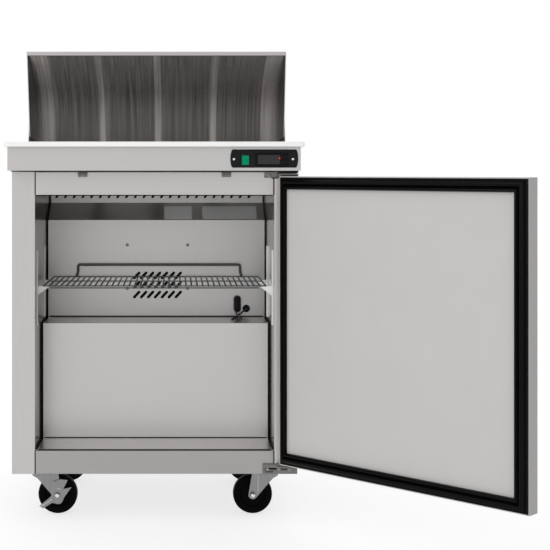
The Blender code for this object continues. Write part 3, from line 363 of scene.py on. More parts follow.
def add_lathe(shape, profile, centre, axis="z", segments=32):
    """Turned solid: (radius, height) pairs along an axis, closed where the radius is 0."""
    turn = AXES[axis]
    rings = []
    for radius, height in profile:
        count = 1 if radius == 0 else segments
        angles = [2 * math.pi * step / segments for step in range(count)]
        spots = [Vector((radius * math.cos(angle), radius * math.sin(angle), height)) for angle in angles]
        rings.append([shape.verts.new(turn @ spot + Vector(centre)) for spot in spots])
    for first, second in zip(rings, rings[1:] + rings[:1]):
        for step in range(segments):
            after = (step + 1) % segments
            corners = [first[step % len(first)], first[after % len(first)],
                       second[after % len(second)], second[step % len(second)]]
            corners = list(dict.fromkeys(corners))
            if len(corners) > 2:
                shape.faces.new(corners)
    return shape


def lathe(name, profile, centre, finish, body, axis="z", segments=32):
    """Piece that is one turned solid."""
    return piece(name, add_lathe(bmesh.new(), profile, centre, axis, segments), finish, body)


def add_prism(shape, outline, axis, start, end):
    """Outline extruded along X, Y or Z; its points are in the two other axes, in order."""
    def spot(first, second, along):
        return {"x": (along, first, second), "y": (first, along, second), "z": (first, second, along)}[axis]

    ends = [[shape.verts.new(spot(first, second, along)) for first, second in outline]
            for along in (start, end)]
    for side in ends:
        shape.faces.new(side)
    for index in range(len(outline)):
        after = (index + 1) % len(outline)
        shape.faces.new((ends[0][index], ends[0][after], ends[1][after], ends[1][index]))
    return shape


def round_corners(points, radius, steps=6):
    """Path with its inner corners rounded."""
    path = [Vector(point) for point in points]
    result = [path[0]]
    for before, corner, after in zip(path, path[1:], path[2:]):
        reach = min(radius, (before - corner).length * 0.49, (after - corner).length * 0.49)
        start = corner + (before - corner).normalized() * reach
        end = corner + (after - corner).normalized() * reach
        for step in range(steps + 1):
            t = step / steps
            result.append(start * (1 - t) ** 2 + corner * 2 * t * (1 - t) + end * t ** 2)
    return result + [path[-1]]


def add_tube(shape, points, radius, sides=10):
    """Round rod along a path, closed at both ends."""
    path = [Vector(point) for point in points]
    normal = None
    rings = []
    for index, point in enumerate(path):
        ahead = path[min(index + 1, len(path) - 1)] - path[max(index - 1, 0)]
        ahead.normalize()
        if normal is None:
            normal = ahead.orthogonal().normalized()
        normal = (normal - ahead * normal.dot(ahead)).normalized()
        other = ahead.cross(normal)
        rings.append([shape.verts.new(point + (normal * math.cos(2 * math.pi * side / sides)
                                               + other * math.sin(2 * math.pi * side / sides)) * radius)
                      for side in range(sides)])
    for first, second in zip(rings, rings[1:]):
        for side in range(sides):
            after = (side + 1) % sides
            shape.faces.new((first[side], first[after], second[after], second[side]))
    shape.faces.new(rings[0])
    shape.faces.new(rings[-1])
    return shape


def add_screw(shape, centre, axis="y", radius=0.0035, height=0.0016):
    """Domed screw head that looks along minus the axis, with a round recess."""
    add_lathe(shape, [(0, 0), (radius, 0), (radius, -height * 0.35), (radius * 0.82, -height * 0.80),
                      (radius * 0.45, -height), (radius * 0.40, -height * 0.55), (0, -height * 0.55)],
              centre, axis, 20)
    return shape


def screws(name, centres, body, axis="y", radius=0.0035, height=0.0016, finish="bright"):
    """Piece made of screw heads of one size."""
    shape = bmesh.new()
    for centre in centres:
        add_screw(shape, centre, axis, radius, height)
    return piece(name, shape, finish, body)


# ------------------------------------------------------------------ hood
LID_ARC = (-20, 122.8)       # angles about the lid's pivot between which the inner sheets run, degrees
HOOD_ARC = (-22, 62.05)
CHEEK_INSIDE = (0.0008, 0.0030)     # the cheeks' inner faces lie between these depths from the outside
LID_SKIN_INSET = 0.0028      # from the outside of a cheek to the end of the inner sheet
HOOD_SKIN_INSET = 0.0022
PIVOT_BUTTON = ((0, 0), (0.0090, 0), (0.0090, 0.0012), (0.0065, 0.0026), (0, 0.0028))
HOOD_SCREW_X = (-0.30, -0.10, 0.10, 0.30)
HOOD_SCREW_RISE = 0.016      # above the hood's lower edge

joints = {joint["name"]: joint for joint in frame["joints"]}


def pivot_of(joint):
    """Place of a joint in work coordinates."""
    return Vector(joints[joint]["pos_m"]) - ORIGIN


def towards(profile, sign):
    """Turned profile with its heights along plus or minus the axis."""
    return [(radius, sign * height) for radius, height in profile]


def inner_curve(node, centre, start, end):
    """Points of a hood's inner sheet seen from the side, in order of their angle about a centre."""
    found = {}
    outside = span(node)[1].x
    for vert in nodes[node].data.vertices:
        spot = vert.co - ORIGIN
        if CHEEK_INSIDE[0] < outside - abs(spot.x) < CHEEK_INSIDE[1]:
            angle = math.degrees(math.atan2(spot.z - centre.z, spot.y - centre.y))
            if start < angle < end:
                found[round(angle, 2)] = Vector((spot.y, spot.z))
    return [found[angle] for angle in sorted(found)]


def add_skin(shape, curve, half, toward, gap=0.0004, thick=0.0006):
    """Thin curved sheet just inside a curve, reaching half to each side."""
    inner = []
    outer = []
    for index, point in enumerate(curve):
        along = curve[min(index + 1, len(curve) - 1)] - curve[max(index - 1, 0)]
        normal = Vector((-along.y, along.x)).normalized()
        if normal.dot(toward - point) < 0:
            normal.negate()
        outer.append(point + normal * gap)
        inner.append(point + normal * (gap + thick))
    return add_prism(shape, outer + inner[::-1], "x", -half, half)


lid_pivot = pivot_of("lid_pivot")
lid_centre = Vector((lid_pivot.y, lid_pivot.z))
lid_side = span("hood_lid")[1].x
# Thin sheets just inside the lid and the hood carry the inner faces' painted shade and painted reflections.
for name, node, arc, inset, body in (
        ("lid_inner_skin", "hood_lid", LID_ARC, LID_SKIN_INSET, "lid"),
        ("hood_inner_skin", "rear_hood", HOOD_ARC, HOOD_SKIN_INSET, "cabinet")):
    curve = inner_curve(node, lid_pivot, *arc)
    piece(name, add_skin(bmesh.new(), curve, span(node)[1].x - inset, lid_centre), "hood_inner", body)

shape = bmesh.new()
for sign in (-1, 1):
    outside = sign * (lid_side + GAP)
    add_lathe(shape, towards(PIVOT_BUTTON, sign), (outside, lid_pivot.y, lid_pivot.z), "x", 24)
piece("lid_pivot_buttons", shape, "bright", "lid")

hood_low, hood_high = span("rear_hood")
screws("hood_rear_screws", [(x, hood_high.y + 2 * GAP, hood_low.z + HOOD_SCREW_RISE) for x in HOOD_SCREW_X],
       "cabinet", "-y", radius=0.0040, height=0.0018)

# ------------------------------------------------------------------ pans
BEAD_INSET = 0.0105          # from a pan's edge to the line of its rim bead
BEAD_CORNER = 0.014
BEAD = 0.0006                # radius of the bead

for pan in PANS:
    low, high = span(pan)
    middle = (low + high) / 2
    half_x = high.x - middle.x - BEAD_INSET
    half_y = high.y - middle.y - BEAD_INSET
    ring = [(middle.x + sx * half_x, middle.y + sy * half_y, high.z + 2 * GAP) for sx, sy in QUARTERS]
    bead = add_tube(bmesh.new(), round_corners(ring + ring[:1], BEAD_CORNER, 5), BEAD, 6)
    piece(f"{pan}_bead", bead, "pan", pan)

# ------------------------------------------------------------------ controls
STAT_FRAME = (0.0008, 0.0012)       # width and height of the controller's frame
SWITCH_FRAME = (0.0016, 0.0022)
GLASS_MARGIN = 0.0055        # above and below the display
GLASS_FROM = 0.006           # from the controller's left end
GLASS_TO = 0.020             # from its right end
KEY = (0.0056, 0.0044)
KEY_PITCH = (0.0078, 0.0120)
KEY_FIRST = (-0.0135, 0.0105)       # from the controller's lower right corner
LIGHT_PLACE = (0.0585, 0.0195)      # from its lower left corner
BEZEL_SCREW_X = (0.1932, 0.3357)
BEZEL_CLIP_X = (0.2040, 0.3285)
BEZEL_CLIP_HALF = 0.0045

apron = span("worktop")[0].y
bezel_low, bezel_high = span("control_bezel")
bezel_middle = (bezel_low.z + bezel_high.z) / 2
stat_low, stat_high = span("temperature_controller")
switch_low, switch_high = span("power_switch")
stat_face = stat_low.y - GAP
bezel_face = bezel_low.y - GAP


def add_frame(shape, low, high, width, front, back):
    """Picture frame in the XZ plane made of four mitred bars."""
    for index in range(4):
        corners = [((low[0] + high[0]) / 2 + sx * ((high[0] - low[0]) / 2 + extra),
                    (low[1] + high[1]) / 2 + sz * ((high[1] - low[1]) / 2 + extra))
                   for extra in (0, width) for sx, sz in (QUARTERS[index], QUARTERS[(index + 1) % 4])]
        outline = [corners[0], corners[1], corners[3], corners[2]]
        add_prism(shape, outline, "y", back, front)
    return shape


shape = bmesh.new()
for low, high, (width, height) in ((stat_low, stat_high, STAT_FRAME),
                                   (switch_low, switch_high, SWITCH_FRAME)):
    add_frame(shape, (low.x, low.z), (high.x, high.z), width, bezel_low.y - height, bezel_face)
piece("control_frames", shape, "black", "cabinet")
slab("display_glass", (stat_low.x + GLASS_FROM, stat_face - 0.0003, stat_low.z + GLASS_MARGIN),
     (stat_high.x - GLASS_TO, stat_face, stat_high.z - GLASS_MARGIN), "glass", "cabinet", 0.0001)
shape = bmesh.new()
for column in range(2):
    for row in range(2):
        x = stat_high.x + KEY_FIRST[0] + column * KEY_PITCH[0]
        z = stat_low.z + KEY_FIRST[1] + row * KEY_PITCH[1]
        add_slab(shape, (x - KEY[0] / 2, stat_face - 0.0006, z - KEY[1] / 2),
                 (x + KEY[0] / 2, stat_face, z + KEY[1] / 2), 0.0003, 1)
piece("controller_keys", shape, "bezel", "cabinet")
lathe("indicator_light", [(0, 0), (0.0018, 0), (0.0018, -0.0005), (0.0010, -0.0010), (0, -0.0011)],
      (stat_low.x + LIGHT_PLACE[0], stat_face, stat_low.z + LIGHT_PLACE[1]), "red_light", "cabinet",
      "y", 12)
screws("bezel_screws", [(x, bezel_face, bezel_middle - 0.0015) for x in BEZEL_SCREW_X], "cabinet", "y",
       radius=0.0030, height=0.0014)
shape = bmesh.new()
for x in BEZEL_CLIP_X:
    add_slab(shape, (x - BEZEL_CLIP_HALF, apron - 0.0016, bezel_high.z - 0.0006),
             (x + BEZEL_CLIP_HALF, apron - GAP, bezel_high.z + 0.0022), 0.0004)
piece("bezel_clips", shape, "bright", "cabinet")

# ------------------------------------------------------------------ header and hinges
header_low, header_high = span("front_header")
CATCH_X = 0.1776             # of the drawer catches, to each side
CATCH_HALF = 0.0115
CATCH_EAR = (0.0063, 0.0018)        # place of an ear to each side of its catch, and half its width
HINGE_SCREW_X = (0.012, 0.040, 0.066)       # from the bracket's inner end
HINGE_SCREW_Z = {"hinge_bracket_top": header_high.z - 0.0085,
                 "hinge_bracket_bottom": span("hinge_bracket_bottom")[0].z + 0.0110}
HINGE_FACE = -0.0036         # front of the hinge brackets' flat leaf
# Slots in the brackets, from the lower inner corner: left, right, bottom, top.
HINGE_SLOTS = {"hinge_bracket_bottom": ((0.006, 0.034, 0.0105, 0.0150), (0.044, 0.060, 0.0105, 0.0150),
                                        (0.006, 0.026, 0.0040, 0.0060)),
               "hinge_bracket_top": ((0.018, 0.034, 0.0040, 0.0062), (0.046, 0.060, 0.0040, 0.0062))}
HINGE_RING = ((0.0053, -0.0024), (0.0095, -0.0024), (0.0095, 0.0024), (0.0053, 0.0024))

shape = bmesh.new()
for x in (-CATCH_X, CATCH_X):
    add_slab(shape, (x - CATCH_HALF, header_low.y - 0.0085, header_high.z - 0.0125),
             (x + CATCH_HALF, header_low.y - 0.0002, header_high.z - 0.0007), 0.0008)
    for ear in (x - CATCH_EAR[0], x + CATCH_EAR[0]):
        add_slab(shape, (ear - CATCH_EAR[1], header_low.y - 0.0100, header_high.z - 0.0127),
                 (ear + CATCH_EAR[1], header_low.y - 0.0090, header_high.z - 0.0060), 0.0003)
piece("drawer_catches", shape, "hinge_zinc", "cabinet")
screws("hinge_screws", [(span(node)[0].x + x, HINGE_FACE - GAP, z) for node, z in HINGE_SCREW_Z.items()
                        for x in HINGE_SCREW_X], "cabinet", "y", 0.0042, 0.0018, "zinc")
# Black insets in the brackets' slots: painted shade in the openings.
shape = bmesh.new()
for node, slots in HINGE_SLOTS.items():
    low = span(node)[0]
    for left, right, bottom, top in slots:
        add_slab(shape, (low.x + left, HINGE_FACE - 0.0005, low.z + bottom),
                 (low.x + right, HINGE_FACE, low.z + top), 0.0002)
piece("hinge_slot_shade", shape, "shade", "cabinet")

hinge = pivot_of("door_hinge")
door_low, door_high = span("door_outer_skin")
arm_right = span("hinge_bracket_top")[1].x
# Black spacer and bearing at the top hinge, sized to fill the dark gaps over and under the arm: partly real
# washers, partly painted shade.
slab("hinge_spacer_and_shadow_top", (0.3050, hinge.y - 0.0080, header_high.z - 0.0022),
     (arm_right - 0.0005, -0.0042, header_high.z + 0.0026), "black", "cabinet", 0.0004)
slab("hinge_bearing_and_shadow_top", (hinge.x - 0.0195, hinge.y - 0.0090, door_high.z + 0.0004),
     (arm_right - 0.0010, -0.0125, door_high.z + 0.0027), "black", "cabinet", 0.0004)
lathe("hinge_bearing_bottom", HINGE_RING, (hinge.x, hinge.y, door_low.z - 0.0029), "black", "cabinet",
      "z", 24)

# ------------------------------------------------------------------ door
REST_ANGLE = math.radians(-joints["door_hinge"]["range_deg"][0])
DOOR_PLACE = (Matrix.Translation(ORIGIN) @ Matrix.Translation(hinge) @ Matrix.Rotation(REST_ANGLE, 4, "Z")
              @ Matrix.Translation(-hinge))
DOOR_BACK = DOOR_PLACE.inverted()
GASKET_LEAST = 0.015         # the gasket's solid is wider than this
GASKET_SPREAD = 0.0017       # how far the profile's foot reaches past the solid on each side
GASKET_EXTRA = 0.0010        # added to its width on the latch side, the top and the bottom
# Section of the extruded gasket: share of its width, share of its depth.
GASKET_SECTION = ((0, 0), (0, 0.18), (0.03, 0.34), (0.09, 0.40), (0.15, 0.36), (0.18, 0.30), (0.22, 0.60),
                  (0.28, 0.90), (0.36, 1.0), (0.46, 1.0), (0.54, 0.88), (0.59, 0.52), (0.64, 0.40),
                  (0.69, 0.50), (0.74, 0.84), (0.82, 0.99), (0.90, 0.99), (0.96, 0.80), (0.99, 0.40),
                  (1.0, 0))

gasket_points = [DOOR_BACK @ vert.co for vert in nodes["door_gasket"].data.vertices]
gasket_low, gasket_high = (Vector([pick(point[axis] for point in gasket_points) for axis in range(3)])
                           for pick in (min, max))
gasket_edges = {round(point.x, 4) for point in gasket_points}
hinge_side = gasket_high.x - max(x for x in gasket_edges if x < gasket_high.x - GASKET_LEAST)
other_side = min(x for x in gasket_edges if x > gasket_low.x + GASKET_LEAST) - gasket_low.x
shape = bmesh.new()
rings = []
for share, rise in GASKET_SECTION:
    across = share * (other_side + 2 * GASKET_SPREAD + GASKET_EXTRA) - GASKET_SPREAD
    left = gasket_low.x + across
    right = gasket_high.x - share * hinge_side
    bottom = gasket_low.z + across
    top = gasket_high.z - across
    y = gasket_low.y + rise * (gasket_high.y - gasket_low.y)
    corners = ((left, y, bottom), (right, y, bottom), (right, y, top), (left, y, top))
    rings.append([shape.verts.new(corner) for corner in corners])
for first, second in zip(rings, rings[1:] + rings[:1]):
    for side in range(4):
        after = (side + 1) % 4
        shape.faces.new((first[side], first[after], second[after], second[side]))
gasket = piece("gasket_profile", shape, "gasket", "door", DOOR_PLACE)
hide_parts("door_gasket")

# ------------------------------------------------------------------ wire shelf
WIRE = 0.0021                # radius of the wires that run front to back
CROSS_WIRE = 0.0016          # radius of the wires that run across
RAIL = 0.0034                # radius of the back rail
RAIL_FROM = -0.211
RAIL_TO = 0.226
RAIL_FOOT = 0.012            # height at which the rail's ends bend in to the deck
WIRE_COUNT = 40
WIRE_INSET = 0.0016          # from the shelf's ends, and above its underside
CLIP_DEPTH = 0.024
CLIP_BELOW = 0.0022          # from the deck down to the clips

shelf_low, shelf_high = span("wire_shelf")
deck = shelf_low.z + WIRE_INSET
front_y = shelf_low.y + 0.0018
rear_y = shelf_high.y - 0.0023
pitch = (shelf_high.x - shelf_low.x - 2 * WIRE_INSET) / (WIRE_COUNT - 1)
shape = bmesh.new()
for index in range(WIRE_COUNT):
    x = shelf_low.x + WIRE_INSET + index * pitch
    add_tube(shape, round_corners([(x, front_y + 0.0004, deck - 0.0002), (x, front_y, deck),
                                   (x, rear_y, deck)], 0.001, 2), WIRE, 8)
piece("shelf_thin_wires", shape, "wire", "shelf")
shape = bmesh.new()
for y, z, inset in ((front_y, deck, 0.0003), ((front_y + rear_y) / 2, deck, 0.0003), (rear_y, deck, 0.0003),
                    (front_y, deck - 0.0050, 0.018)):
    add_tube(shape, [(shelf_low.x + inset, y, z), (shelf_high.x - inset, y, z)], CROSS_WIRE, 10)
rail_z = shelf_high.z - RAIL
rail_path = [(RAIL_FROM - 0.004, rear_y - 0.002, deck), (RAIL_FROM, rear_y, deck + RAIL_FOOT),
             (RAIL_FROM, rear_y, rail_z), (RAIL_TO, rear_y, rail_z), (RAIL_TO, rear_y, deck + RAIL_FOOT),
             (RAIL_TO + 0.004, rear_y - 0.002, deck)]
add_tube(shape, round_corners(rail_path, 0.0065, 6), RAIL, 12)
shelf_rods = piece("shelf_rods", shape, "wire", "shelf")
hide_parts("wire_shelf")

clip_top = deck - CLIP_BELOW
for sign, side in ((-1, "left"), (1, "right")):
    shape = bmesh.new()
    for place in ("front", "rear"):
        low, high = span(f"shelf_pilaster_{place}_{side}")
        wall, tip = (low.x, high.x) if sign < 0 else (high.x, low.x)
        face = wall - sign * 0.0042
        wedge = [(face, clip_top - CLIP_DEPTH), (tip, clip_top - 0.0035), (tip, clip_top - 0.0012),
                 (face, clip_top - 0.0012)]
        add_prism(shape, wedge, "y", low.y + 0.001, high.y - 0.001)
    piece(f"shelf_clips_{side}", shape, f"clip_{side}", "cabinet")

# ------------------------------------------------------------------ seams and painted shade strips
FLOOR_Z = 0.184              # cabinet floor
STEP_Y = 0.152               # front of the step over the machine space
DARK_STRIP_HALF = 0.288            # half the length of the dark strips along the floor and the step
APRON_SHADOW_TOP = 0.8745
SIDE_SEAM_HALF = 0.0004

liner_low, liner_high = span("floor_liner")
step_top = liner_high.z
cover_low, cover_high = span("evaporator_cover")
cover = cover_low.y
wall_inner = span("liner_right")[0].x
# Black strips along the side edges of the floor and the step and in the joints beside the header and the
# sill: dark joints, with painted shade in the floor's corners.
shape = bmesh.new()
for sign in (-1, 1):
    near, far = sign * (liner_high.x + 0.0004), sign * (wall_inner - 0.0004)
    outline = [(liner_low.y, FLOOR_Z - 0.0006), (STEP_Y - 0.0004, FLOOR_Z - 0.0006),
               (STEP_Y - 0.0004, step_top - 0.0006), (cover, step_top - 0.0006), (cover, step_top - 0.0009),
               (STEP_Y + 0.0006, step_top - 0.0009), (STEP_Y + 0.0006, FLOOR_Z - 0.0009),
               (liner_low.y, FLOOR_Z - 0.0009)]
    add_prism(shape, outline, "x", min(near, far), max(near, far))
    edge = sign * (header_high.x + wall_inner) / 2
    for node in ("front_header", "front_sill"):
        low, high = span(node)
        add_slab(shape, (edge - SIDE_SEAM_HALF, 0.0004, low.z + 0.0010),
                 (edge + SIDE_SEAM_HALF, 0.0100, high.z - 0.0010))
        add_slab(shape, (edge - 0.0011, -0.0005, low.z + 0.0004), (edge + 0.0011, -0.0001, high.z - 0.0004),
                 0.0001, 1)
piece("black_seams_and_painted_shade", shape, "shade", "cabinet")

sill_top = span("front_sill")[1].z
top_half = span("worktop")[1].x
# Black strips that paint shade under the header, over the sill, in the creases at the step and the cover,
# and in the gap under the apron; the outlet mesh is one more black strip.
# Name, half length, place in depth from and to, height from and to, rounding of the edges.
DARK_STRIPS = (
    ("header_painted_shadow", 0.292, 0.0020, 0.0100, header_low.z - 0.0022, header_low.z - 0.0003, 0.0003),
    ("sill_painted_shade", DARK_STRIP_HALF, 0.0022, 0.0112, sill_top + 0.0002, sill_top + 0.0011, 0.0002),
    ("step_painted_shade", DARK_STRIP_HALF, STEP_Y - 0.0022, STEP_Y - 0.0003, FLOOR_Z + 0.0003, FLOOR_Z + 0.0016, 0.0003),
    ("cover_painted_shade", DARK_STRIP_HALF, cover - 0.0022, cover - 0.0003, step_top + 0.0003, step_top + 0.0028, 0.0004),
    ("outlet_mesh", DARK_STRIP_HALF, cover_high.y + 0.0006, cover_high.y + 0.0012, 0.7905, 0.8165, 0.0002),
    ("apron_painted_shadow", top_half - 0.003, -0.0096, -0.0083, header_high.z + 0.0004, APRON_SHADOW_TOP, 0.0002))
for name, half, front, back, bottom, top, bevel in DARK_STRIPS:
    slab(name, (-half, front, bottom), (half, back, top), "shade", "cabinet", bevel)

# ------------------------------------------------------------------ evaporator cover
LOUVRE_X = 0.003             # middle of the louvres
COVER_SCREW_REACH = 0.0815   # to each side of it
COVER_SCREW_Z = (0.6737, 0.5565)
GROMMET_X, GROMMET_Z = 0.2427, 0.5022
LOUVRE_MESH = ((-0.080, 0.515), (0.086, 0.616))
LEAD = 0.0020                # radius of the sensor's leads
BEND_LOW = Vector((0, cover, 0.741))        # the cover's sloping face runs from here
BEND_HIGH = Vector((0, 0.388, 0.786))       # to here
LABEL_SPAN = (0.006, 0.074)  # up the slope
LABELS_X = ((0.0213, 0.0956), (0.125, 0.272))

cover_face = cover - 2 * GAP
screws("cover_screws", [(LOUVRE_X + sx * COVER_SCREW_REACH, cover_face, z)
                        for sx in (-1, 1) for z in COVER_SCREW_Z], "cabinet", "y", 0.0042, 0.0020, "zinc")
slab("sensor_cover", (0.2085, cover - 0.0165, 0.4930), (0.2280, cover_face, 0.5375), "black", "cabinet",
     0.0080)
lathe("cable_grommet", [(0, 0), (0.0100, 0), (0.0100, -0.0030), (0.0074, -0.0056), (0, -0.0062)],
      (GROMMET_X, cover_face, GROMMET_Z), "black", "cabinet", "y", 24)
shape = bmesh.new()
for path in (((0.2425, cover - 0.0050, 0.5020), (0.2300, cover - 0.0070, 0.4910),
              (0.2170, cover - 0.0120, step_top + 0.0022), (0.2000, cover - 0.0800, step_top + 0.0022)),
             ((0.2150, cover - 0.0100, 0.4960), (0.2165, cover - 0.0110, step_top + 0.0080),
              (0.2200, cover - 0.0300, step_top + 0.0066), (0.2260, cover - 0.0850, step_top + 0.0022))):
    add_tube(shape, round_corners(path, 0.010, 6), LEAD, 8)
piece("sensor_leads", shape, "cable", "cabinet")
(mesh_left, mesh_bottom), (mesh_right, mesh_top) = LOUVRE_MESH
slab("louvre_mesh", (mesh_left, cover + 0.0022, mesh_bottom), (mesh_right, cover + 0.0030, mesh_top),
     "shade", "cabinet", 0.0002)
slope = (BEND_HIGH - BEND_LOW).normalized()
out = Vector((0, -slope.z, slope.y))
corners = [BEND_LOW + slope * along + out * off for along, off in
           zip(LABEL_SPAN + LABEL_SPAN[::-1], (2 * GAP, 2 * GAP, 4 * GAP, 4 * GAP))]
shape = bmesh.new()
for left, right in LABELS_X:
    add_prism(shape, [(point.y, point.z) for point in corners], "x", left, right)
piece("blank_labels", shape, "label", "cabinet")

# ------------------------------------------------------------------ casters
AXLE_HEAD = ((0, 0), (0.0062, 0), (0.0060, 0.0016), (0.0042, 0.0036), (0, 0.0044))
KINGPIN_RIVET = ((0, 0), (0.0075, 0), (0.0075, -0.0022), (0.0045, -0.0034), (0, -0.0034))
PLATE_BOLT = ((0, 0), (0.0065, 0), (0.0065, -0.0038), (0.0052, -0.0046), (0, -0.0046))
BOLT_REACH = (0.022, 0.038)  # from the kingpin to the plate's bolts
RIB_X = (0.0122, 0.0144)     # a fork rib's edges, from the wheel's middle towards the outside
RIB_Z = (0.0560, 0.0585, 0.1020)
RIB_OFF = 0.0041             # from the wheel's side to the rib
RIB_HEIGHT = 0.0010
RIB_SIDES = {corner: (-1, 1) for corner in CORNERS}
RIB_SIDES["front_left"] = (1,)      # the brake lever lies against this fork's front


def wheel_profile(radius, half):
    """Section of a wheel from its bore out to the tread and back: hub, dished web, rim and rounded tyre."""
    near = [(0.0047, -half), (0.010, -half), (0.012, -half + 0.0030), (0.024, -half + 0.0042),
            (0.030, -half + 0.0042), (0.032, -half + 0.0012), (0.036, -half), (radius - 0.006, -half),
            (radius - 0.0018, -half + 0.0022), (radius - 0.0002, -half + 0.0070)]
    return near + [(radius, 0)] + [(reach, -height) for reach, height in near[::-1]]


def build_caster(corner):
    """Turned wheel, axle heads, fork ribs, plate bolts and kingpin rivet of one caster."""
    sign = -1 if corner.endswith("left") else 1
    swivel_body = f"swivel_{corner}"
    low, high = span(f"caster_wheel_{corner}")
    centre = (low + high) / 2
    half = (high.y - low.y) / 2
    wheel = lathe(f"wheel_turned_{corner}", wheel_profile((high.z - low.z) / 2, half), centre, "wheel",
                  f"wheel_{corner}", "y", 72)
    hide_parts(f"caster_wheel_{corner}")

    fork_low, fork_high = span(f"caster_fork_{corner}")
    reach = max(centre.y - fork_low.y, fork_high.y - centre.y)
    shape = bmesh.new()
    for side in (-1, 1):
        foot = centre.y + side * (reach - 0.0020)
        add_lathe(shape, towards(AXLE_HEAD, side), (centre.x, foot, centre.z), "y", 24)
    piece(f"axle_heads_{corner}", shape, "bright", swivel_body)

    inner, outer = (centre.x + sign * x for x in RIB_X)
    rib = [(inner, RIB_Z[0]), (outer, RIB_Z[1]), (outer, RIB_Z[2]), (inner, RIB_Z[2])]
    shape = bmesh.new()
    for side in RIB_SIDES[corner]:
        face = centre.y + side * (half + RIB_OFF)
        add_prism(shape, rib, "y", face, face + side * RIB_HEIGHT)
    piece(f"fork_ribs_{corner}", shape, "galvanised", swivel_body)

    plate_top = span(f"caster_plate_{corner}")[1].z
    swivel = pivot_of(swivel_body)
    shape = bmesh.new()
    for sx in (-1, 1):
        for sy in (-1, 1):
            spot = (swivel.x + sx * BOLT_REACH[0], swivel.y + sy * BOLT_REACH[1], plate_top - 0.0028)
            add_lathe(shape, PLATE_BOLT, spot, "z", 6)
    piece(f"plate_bolts_{corner}", shape, "zinc", "cabinet")
    lathe(f"kingpin_rivet_{corner}", KINGPIN_RIVET, (swivel.x, swivel.y, fork_high.z - 0.0062), "zinc",
          swivel_body, "z", 20)


for corner in CORNERS:
    build_caster(corner)

BRAKE_TREAD = ((-0.0430, -0.0290), (-0.0300, -0.0215), (-0.0125, -0.0095))  # from the axle, across and up
BRAKE_RIVET = ((0, 0), (0.0038, 0), (0.0036, -0.0010), (0.0024, -0.0020), (0, -0.0024))
BRAKE_RIVET_PLACE = (0.0035, 0.0170)
brake_axle = pivot_of("brake_pedal")
brake_face = span("brake_lever")[0].y
tread = [(brake_axle.x + x, brake_face - 0.0006, brake_axle.z + z) for x, z in BRAKE_TREAD]
ridge = add_tube(bmesh.new(), round_corners(tread, 0.006), 0.0022, 12)
piece("brake_tread_ridge", ridge, "galvanised", "brake")
lathe("brake_rivet", BRAKE_RIVET, (brake_axle.x + BRAKE_RIVET_PLACE[0], brake_face + 2 * GAP,
                                   brake_axle.z + BRAKE_RIVET_PLACE[1]), "galvanised", "brake", "y", 20)

# ------------------------------------------------------------------ rear and machine
GRILLE_SCREW_X = (-0.335, 0.0, 0.335)
GRILLE_SCREW_INSET = 0.012   # from the grille's lower and upper edges
BACK_SCREW_X = (-0.335, 0.335)
BACK_SCREW_Z = (0.50, 0.66, 0.82)
CORD_GLAND = ((0.0045, 0), (0.0110, 0), (0.0110, 0.0030), (0.0085, 0.0060), (0.0075, 0.0160),
              (0.0045, 0.0160))
FIN_COUNT = 46
FIN_HALF = 0.0002
FIN_HEIGHT = 0.0016          # how far the fins stand off the condenser
FIN_INSET = 0.005            # from the condenser's ends
FIN_MARGIN = 0.004           # from its top and bottom
SUCTION_PIPE = 0.0045        # radius
DISCHARGE_PIPE = 0.0035

grille_low, grille_high = span("rear_grille")
screws("grille_screws", [(x, grille_high.y + 2 * GAP, z) for x in GRILLE_SCREW_X
                         for z in (grille_low.z + GRILLE_SCREW_INSET, grille_high.z - GRILLE_SCREW_INSET)],
       "cabinet", "-y", 0.0045, 0.0020)
back = span("back_panel")[1].y
screws("back_screws", [(x, back + 2 * GAP, z) for x in BACK_SCREW_X for z in BACK_SCREW_Z], "cabinet", "-y",
       0.0040, 0.0018)
slab("rating_plate", (0.180, back + GAP, 0.700), (0.280, back + 0.0008, 0.760), "label", "cabinet", 0.0002)
lathe("cord_gland", CORD_GLAND, (-0.300, grille_high.y - 0.0162, grille_low.z + 0.035), "black", "cabinet",
      "y", 24)

coil_low, coil_high = span("condenser_coil")
fin_pitch = (coil_high.x - coil_low.x - 2 * FIN_INSET) / (FIN_COUNT - 1)
shape = bmesh.new()
for index in range(FIN_COUNT):
    x = coil_low.x + FIN_INSET + index * fin_pitch
    for front, rear in ((coil_low.y - FIN_HEIGHT, coil_low.y - GAP),
                        (coil_high.y + GAP, coil_high.y + FIN_HEIGHT)):
        add_slab(shape, (x - FIN_HALF, front, coil_low.z + FIN_MARGIN),
                 (x + FIN_HALF, rear, coil_high.z - FIN_MARGIN))
piece("condenser_fins", shape, "fins", "cabinet")

can_low, can_high = span("compressor")
can = (can_low + can_high) / 2
coil_in = (coil_low.y + 0.025, coil_high.z - 0.040)     # where the discharge pipe meets the condenser
discharge_path = [(can.x + 0.030, can.y, can_high.z - 0.030), (can.x + 0.030, can.y, can_high.z + 0.020),
                  (can.x + 0.100, can.y + 0.070, can_high.z + 0.030), (coil_low.x - 0.006, *coil_in),
                  (coil_low.x + 0.001, *coil_in)]
suction_path = [(can.x - 0.040, can.y + 0.020, can_high.z - 0.035),
                (can.x - 0.040, can.y + 0.020, can_high.z + 0.014),
                (can.x - 0.040, can.y + 0.130, can_high.z + 0.014),
                (can.x - 0.040, can.y + 0.130, can_low.z + 0.060)]
shape = bmesh.new()
for path, radius in ((discharge_path, DISCHARGE_PIPE), (suction_path, SUCTION_PIPE)):
    add_tube(shape, round_corners(path, 0.020, 6), radius, 10)
piece("refrigerant_pipes", shape, "copper", "cabinet")

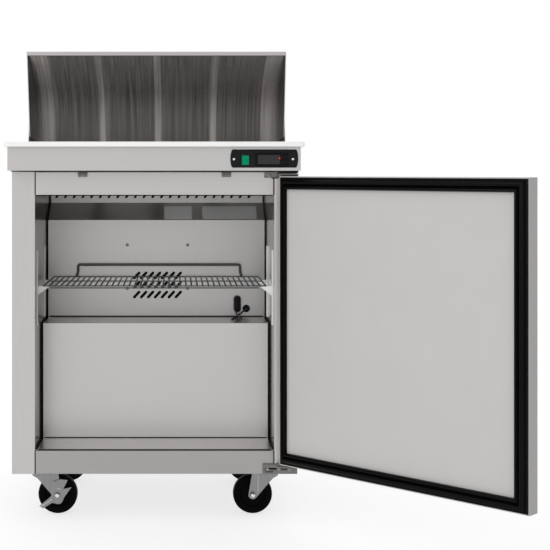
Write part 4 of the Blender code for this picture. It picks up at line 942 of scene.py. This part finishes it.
# ------------------------------------------------------------------ studio
FLOOR_HALF = 40.0
FLOOR_DROP = 0.0005          # keeps the floor just clear of the wheels
FLOOR_SHADE = 0.30           # light that the floor gives back
FLOOR_GLOW = 0.692           # light of its own, which keeps the shadows faint
LENS = 86.6
SENSOR = 36
LENS_SHIFT = (0.18, -0.191)
CAMERA_PLACE = (0.053, -3.270, 0.8764)

floor_shape = bmesh.new()
bmesh.ops.create_grid(floor_shape, x_segments=1, y_segments=1, size=FLOOR_HALF)
floor_mesh = bpy.data.meshes.new("studio_floor")
floor_shape.to_mesh(floor_mesh)
floor_shape.free()
floor = bpy.data.objects.new("studio_floor", floor_mesh)
bpy.context.scene.collection.objects.link(floor)
floor.location = (0, 0, -FLOOR_DROP)
floor_finish, _, floor_shader = new_material("studio_floor", 0.9, 0.0)
floor_shader.inputs["Base Color"].default_value = (FLOOR_SHADE, FLOOR_SHADE, FLOOR_SHADE, 1)
floor_shader.inputs["Emission Color"].default_value = (1, 1, 1, 1)
floor_shader.inputs["Emission Strength"].default_value = FLOOR_GLOW
floor_mesh.materials.append(floor_finish)

world = bpy.data.worlds.new("studio")
world.use_nodes = True
world.node_tree.nodes["Background"].inputs["Color"].default_value = (1, 1, 1, 1)
world.node_tree.nodes["Background"].inputs["Strength"].default_value = 1.0
bpy.context.scene.world = world
bpy.context.scene.view_settings.view_transform = "Standard"


def area_light(name, place, target, size, power):
    """Soft rectangular light that looks at a target."""
    data = bpy.data.lights.new(name, "AREA")
    data.shape = "RECTANGLE"
    data.size, data.size_y = size
    data.energy = power
    light = bpy.data.objects.new(name, data)
    bpy.context.scene.collection.objects.link(light)
    light.location = place
    light.rotation_euler = (Vector(target) - Vector(place)).to_track_quat("-Z", "Y").to_euler()


area_light("key", at(-2.2, -2.6, 2.6), at(0, 0, 0.6), (1.6, 1.6), 20)

# ------------------------------------------------------------------ camera
camera_data = bpy.data.cameras.new("camera")
camera_data.lens = LENS
camera_data.sensor_width = SENSOR
camera_data.shift_x, camera_data.shift_y = LENS_SHIFT
camera = bpy.data.objects.new("camera", camera_data)
bpy.context.scene.collection.objects.link(camera)
camera.location = at(*CAMERA_PLACE)
camera.rotation_euler = (math.radians(90), 0, 0)
bpy.context.scene.camera = camera
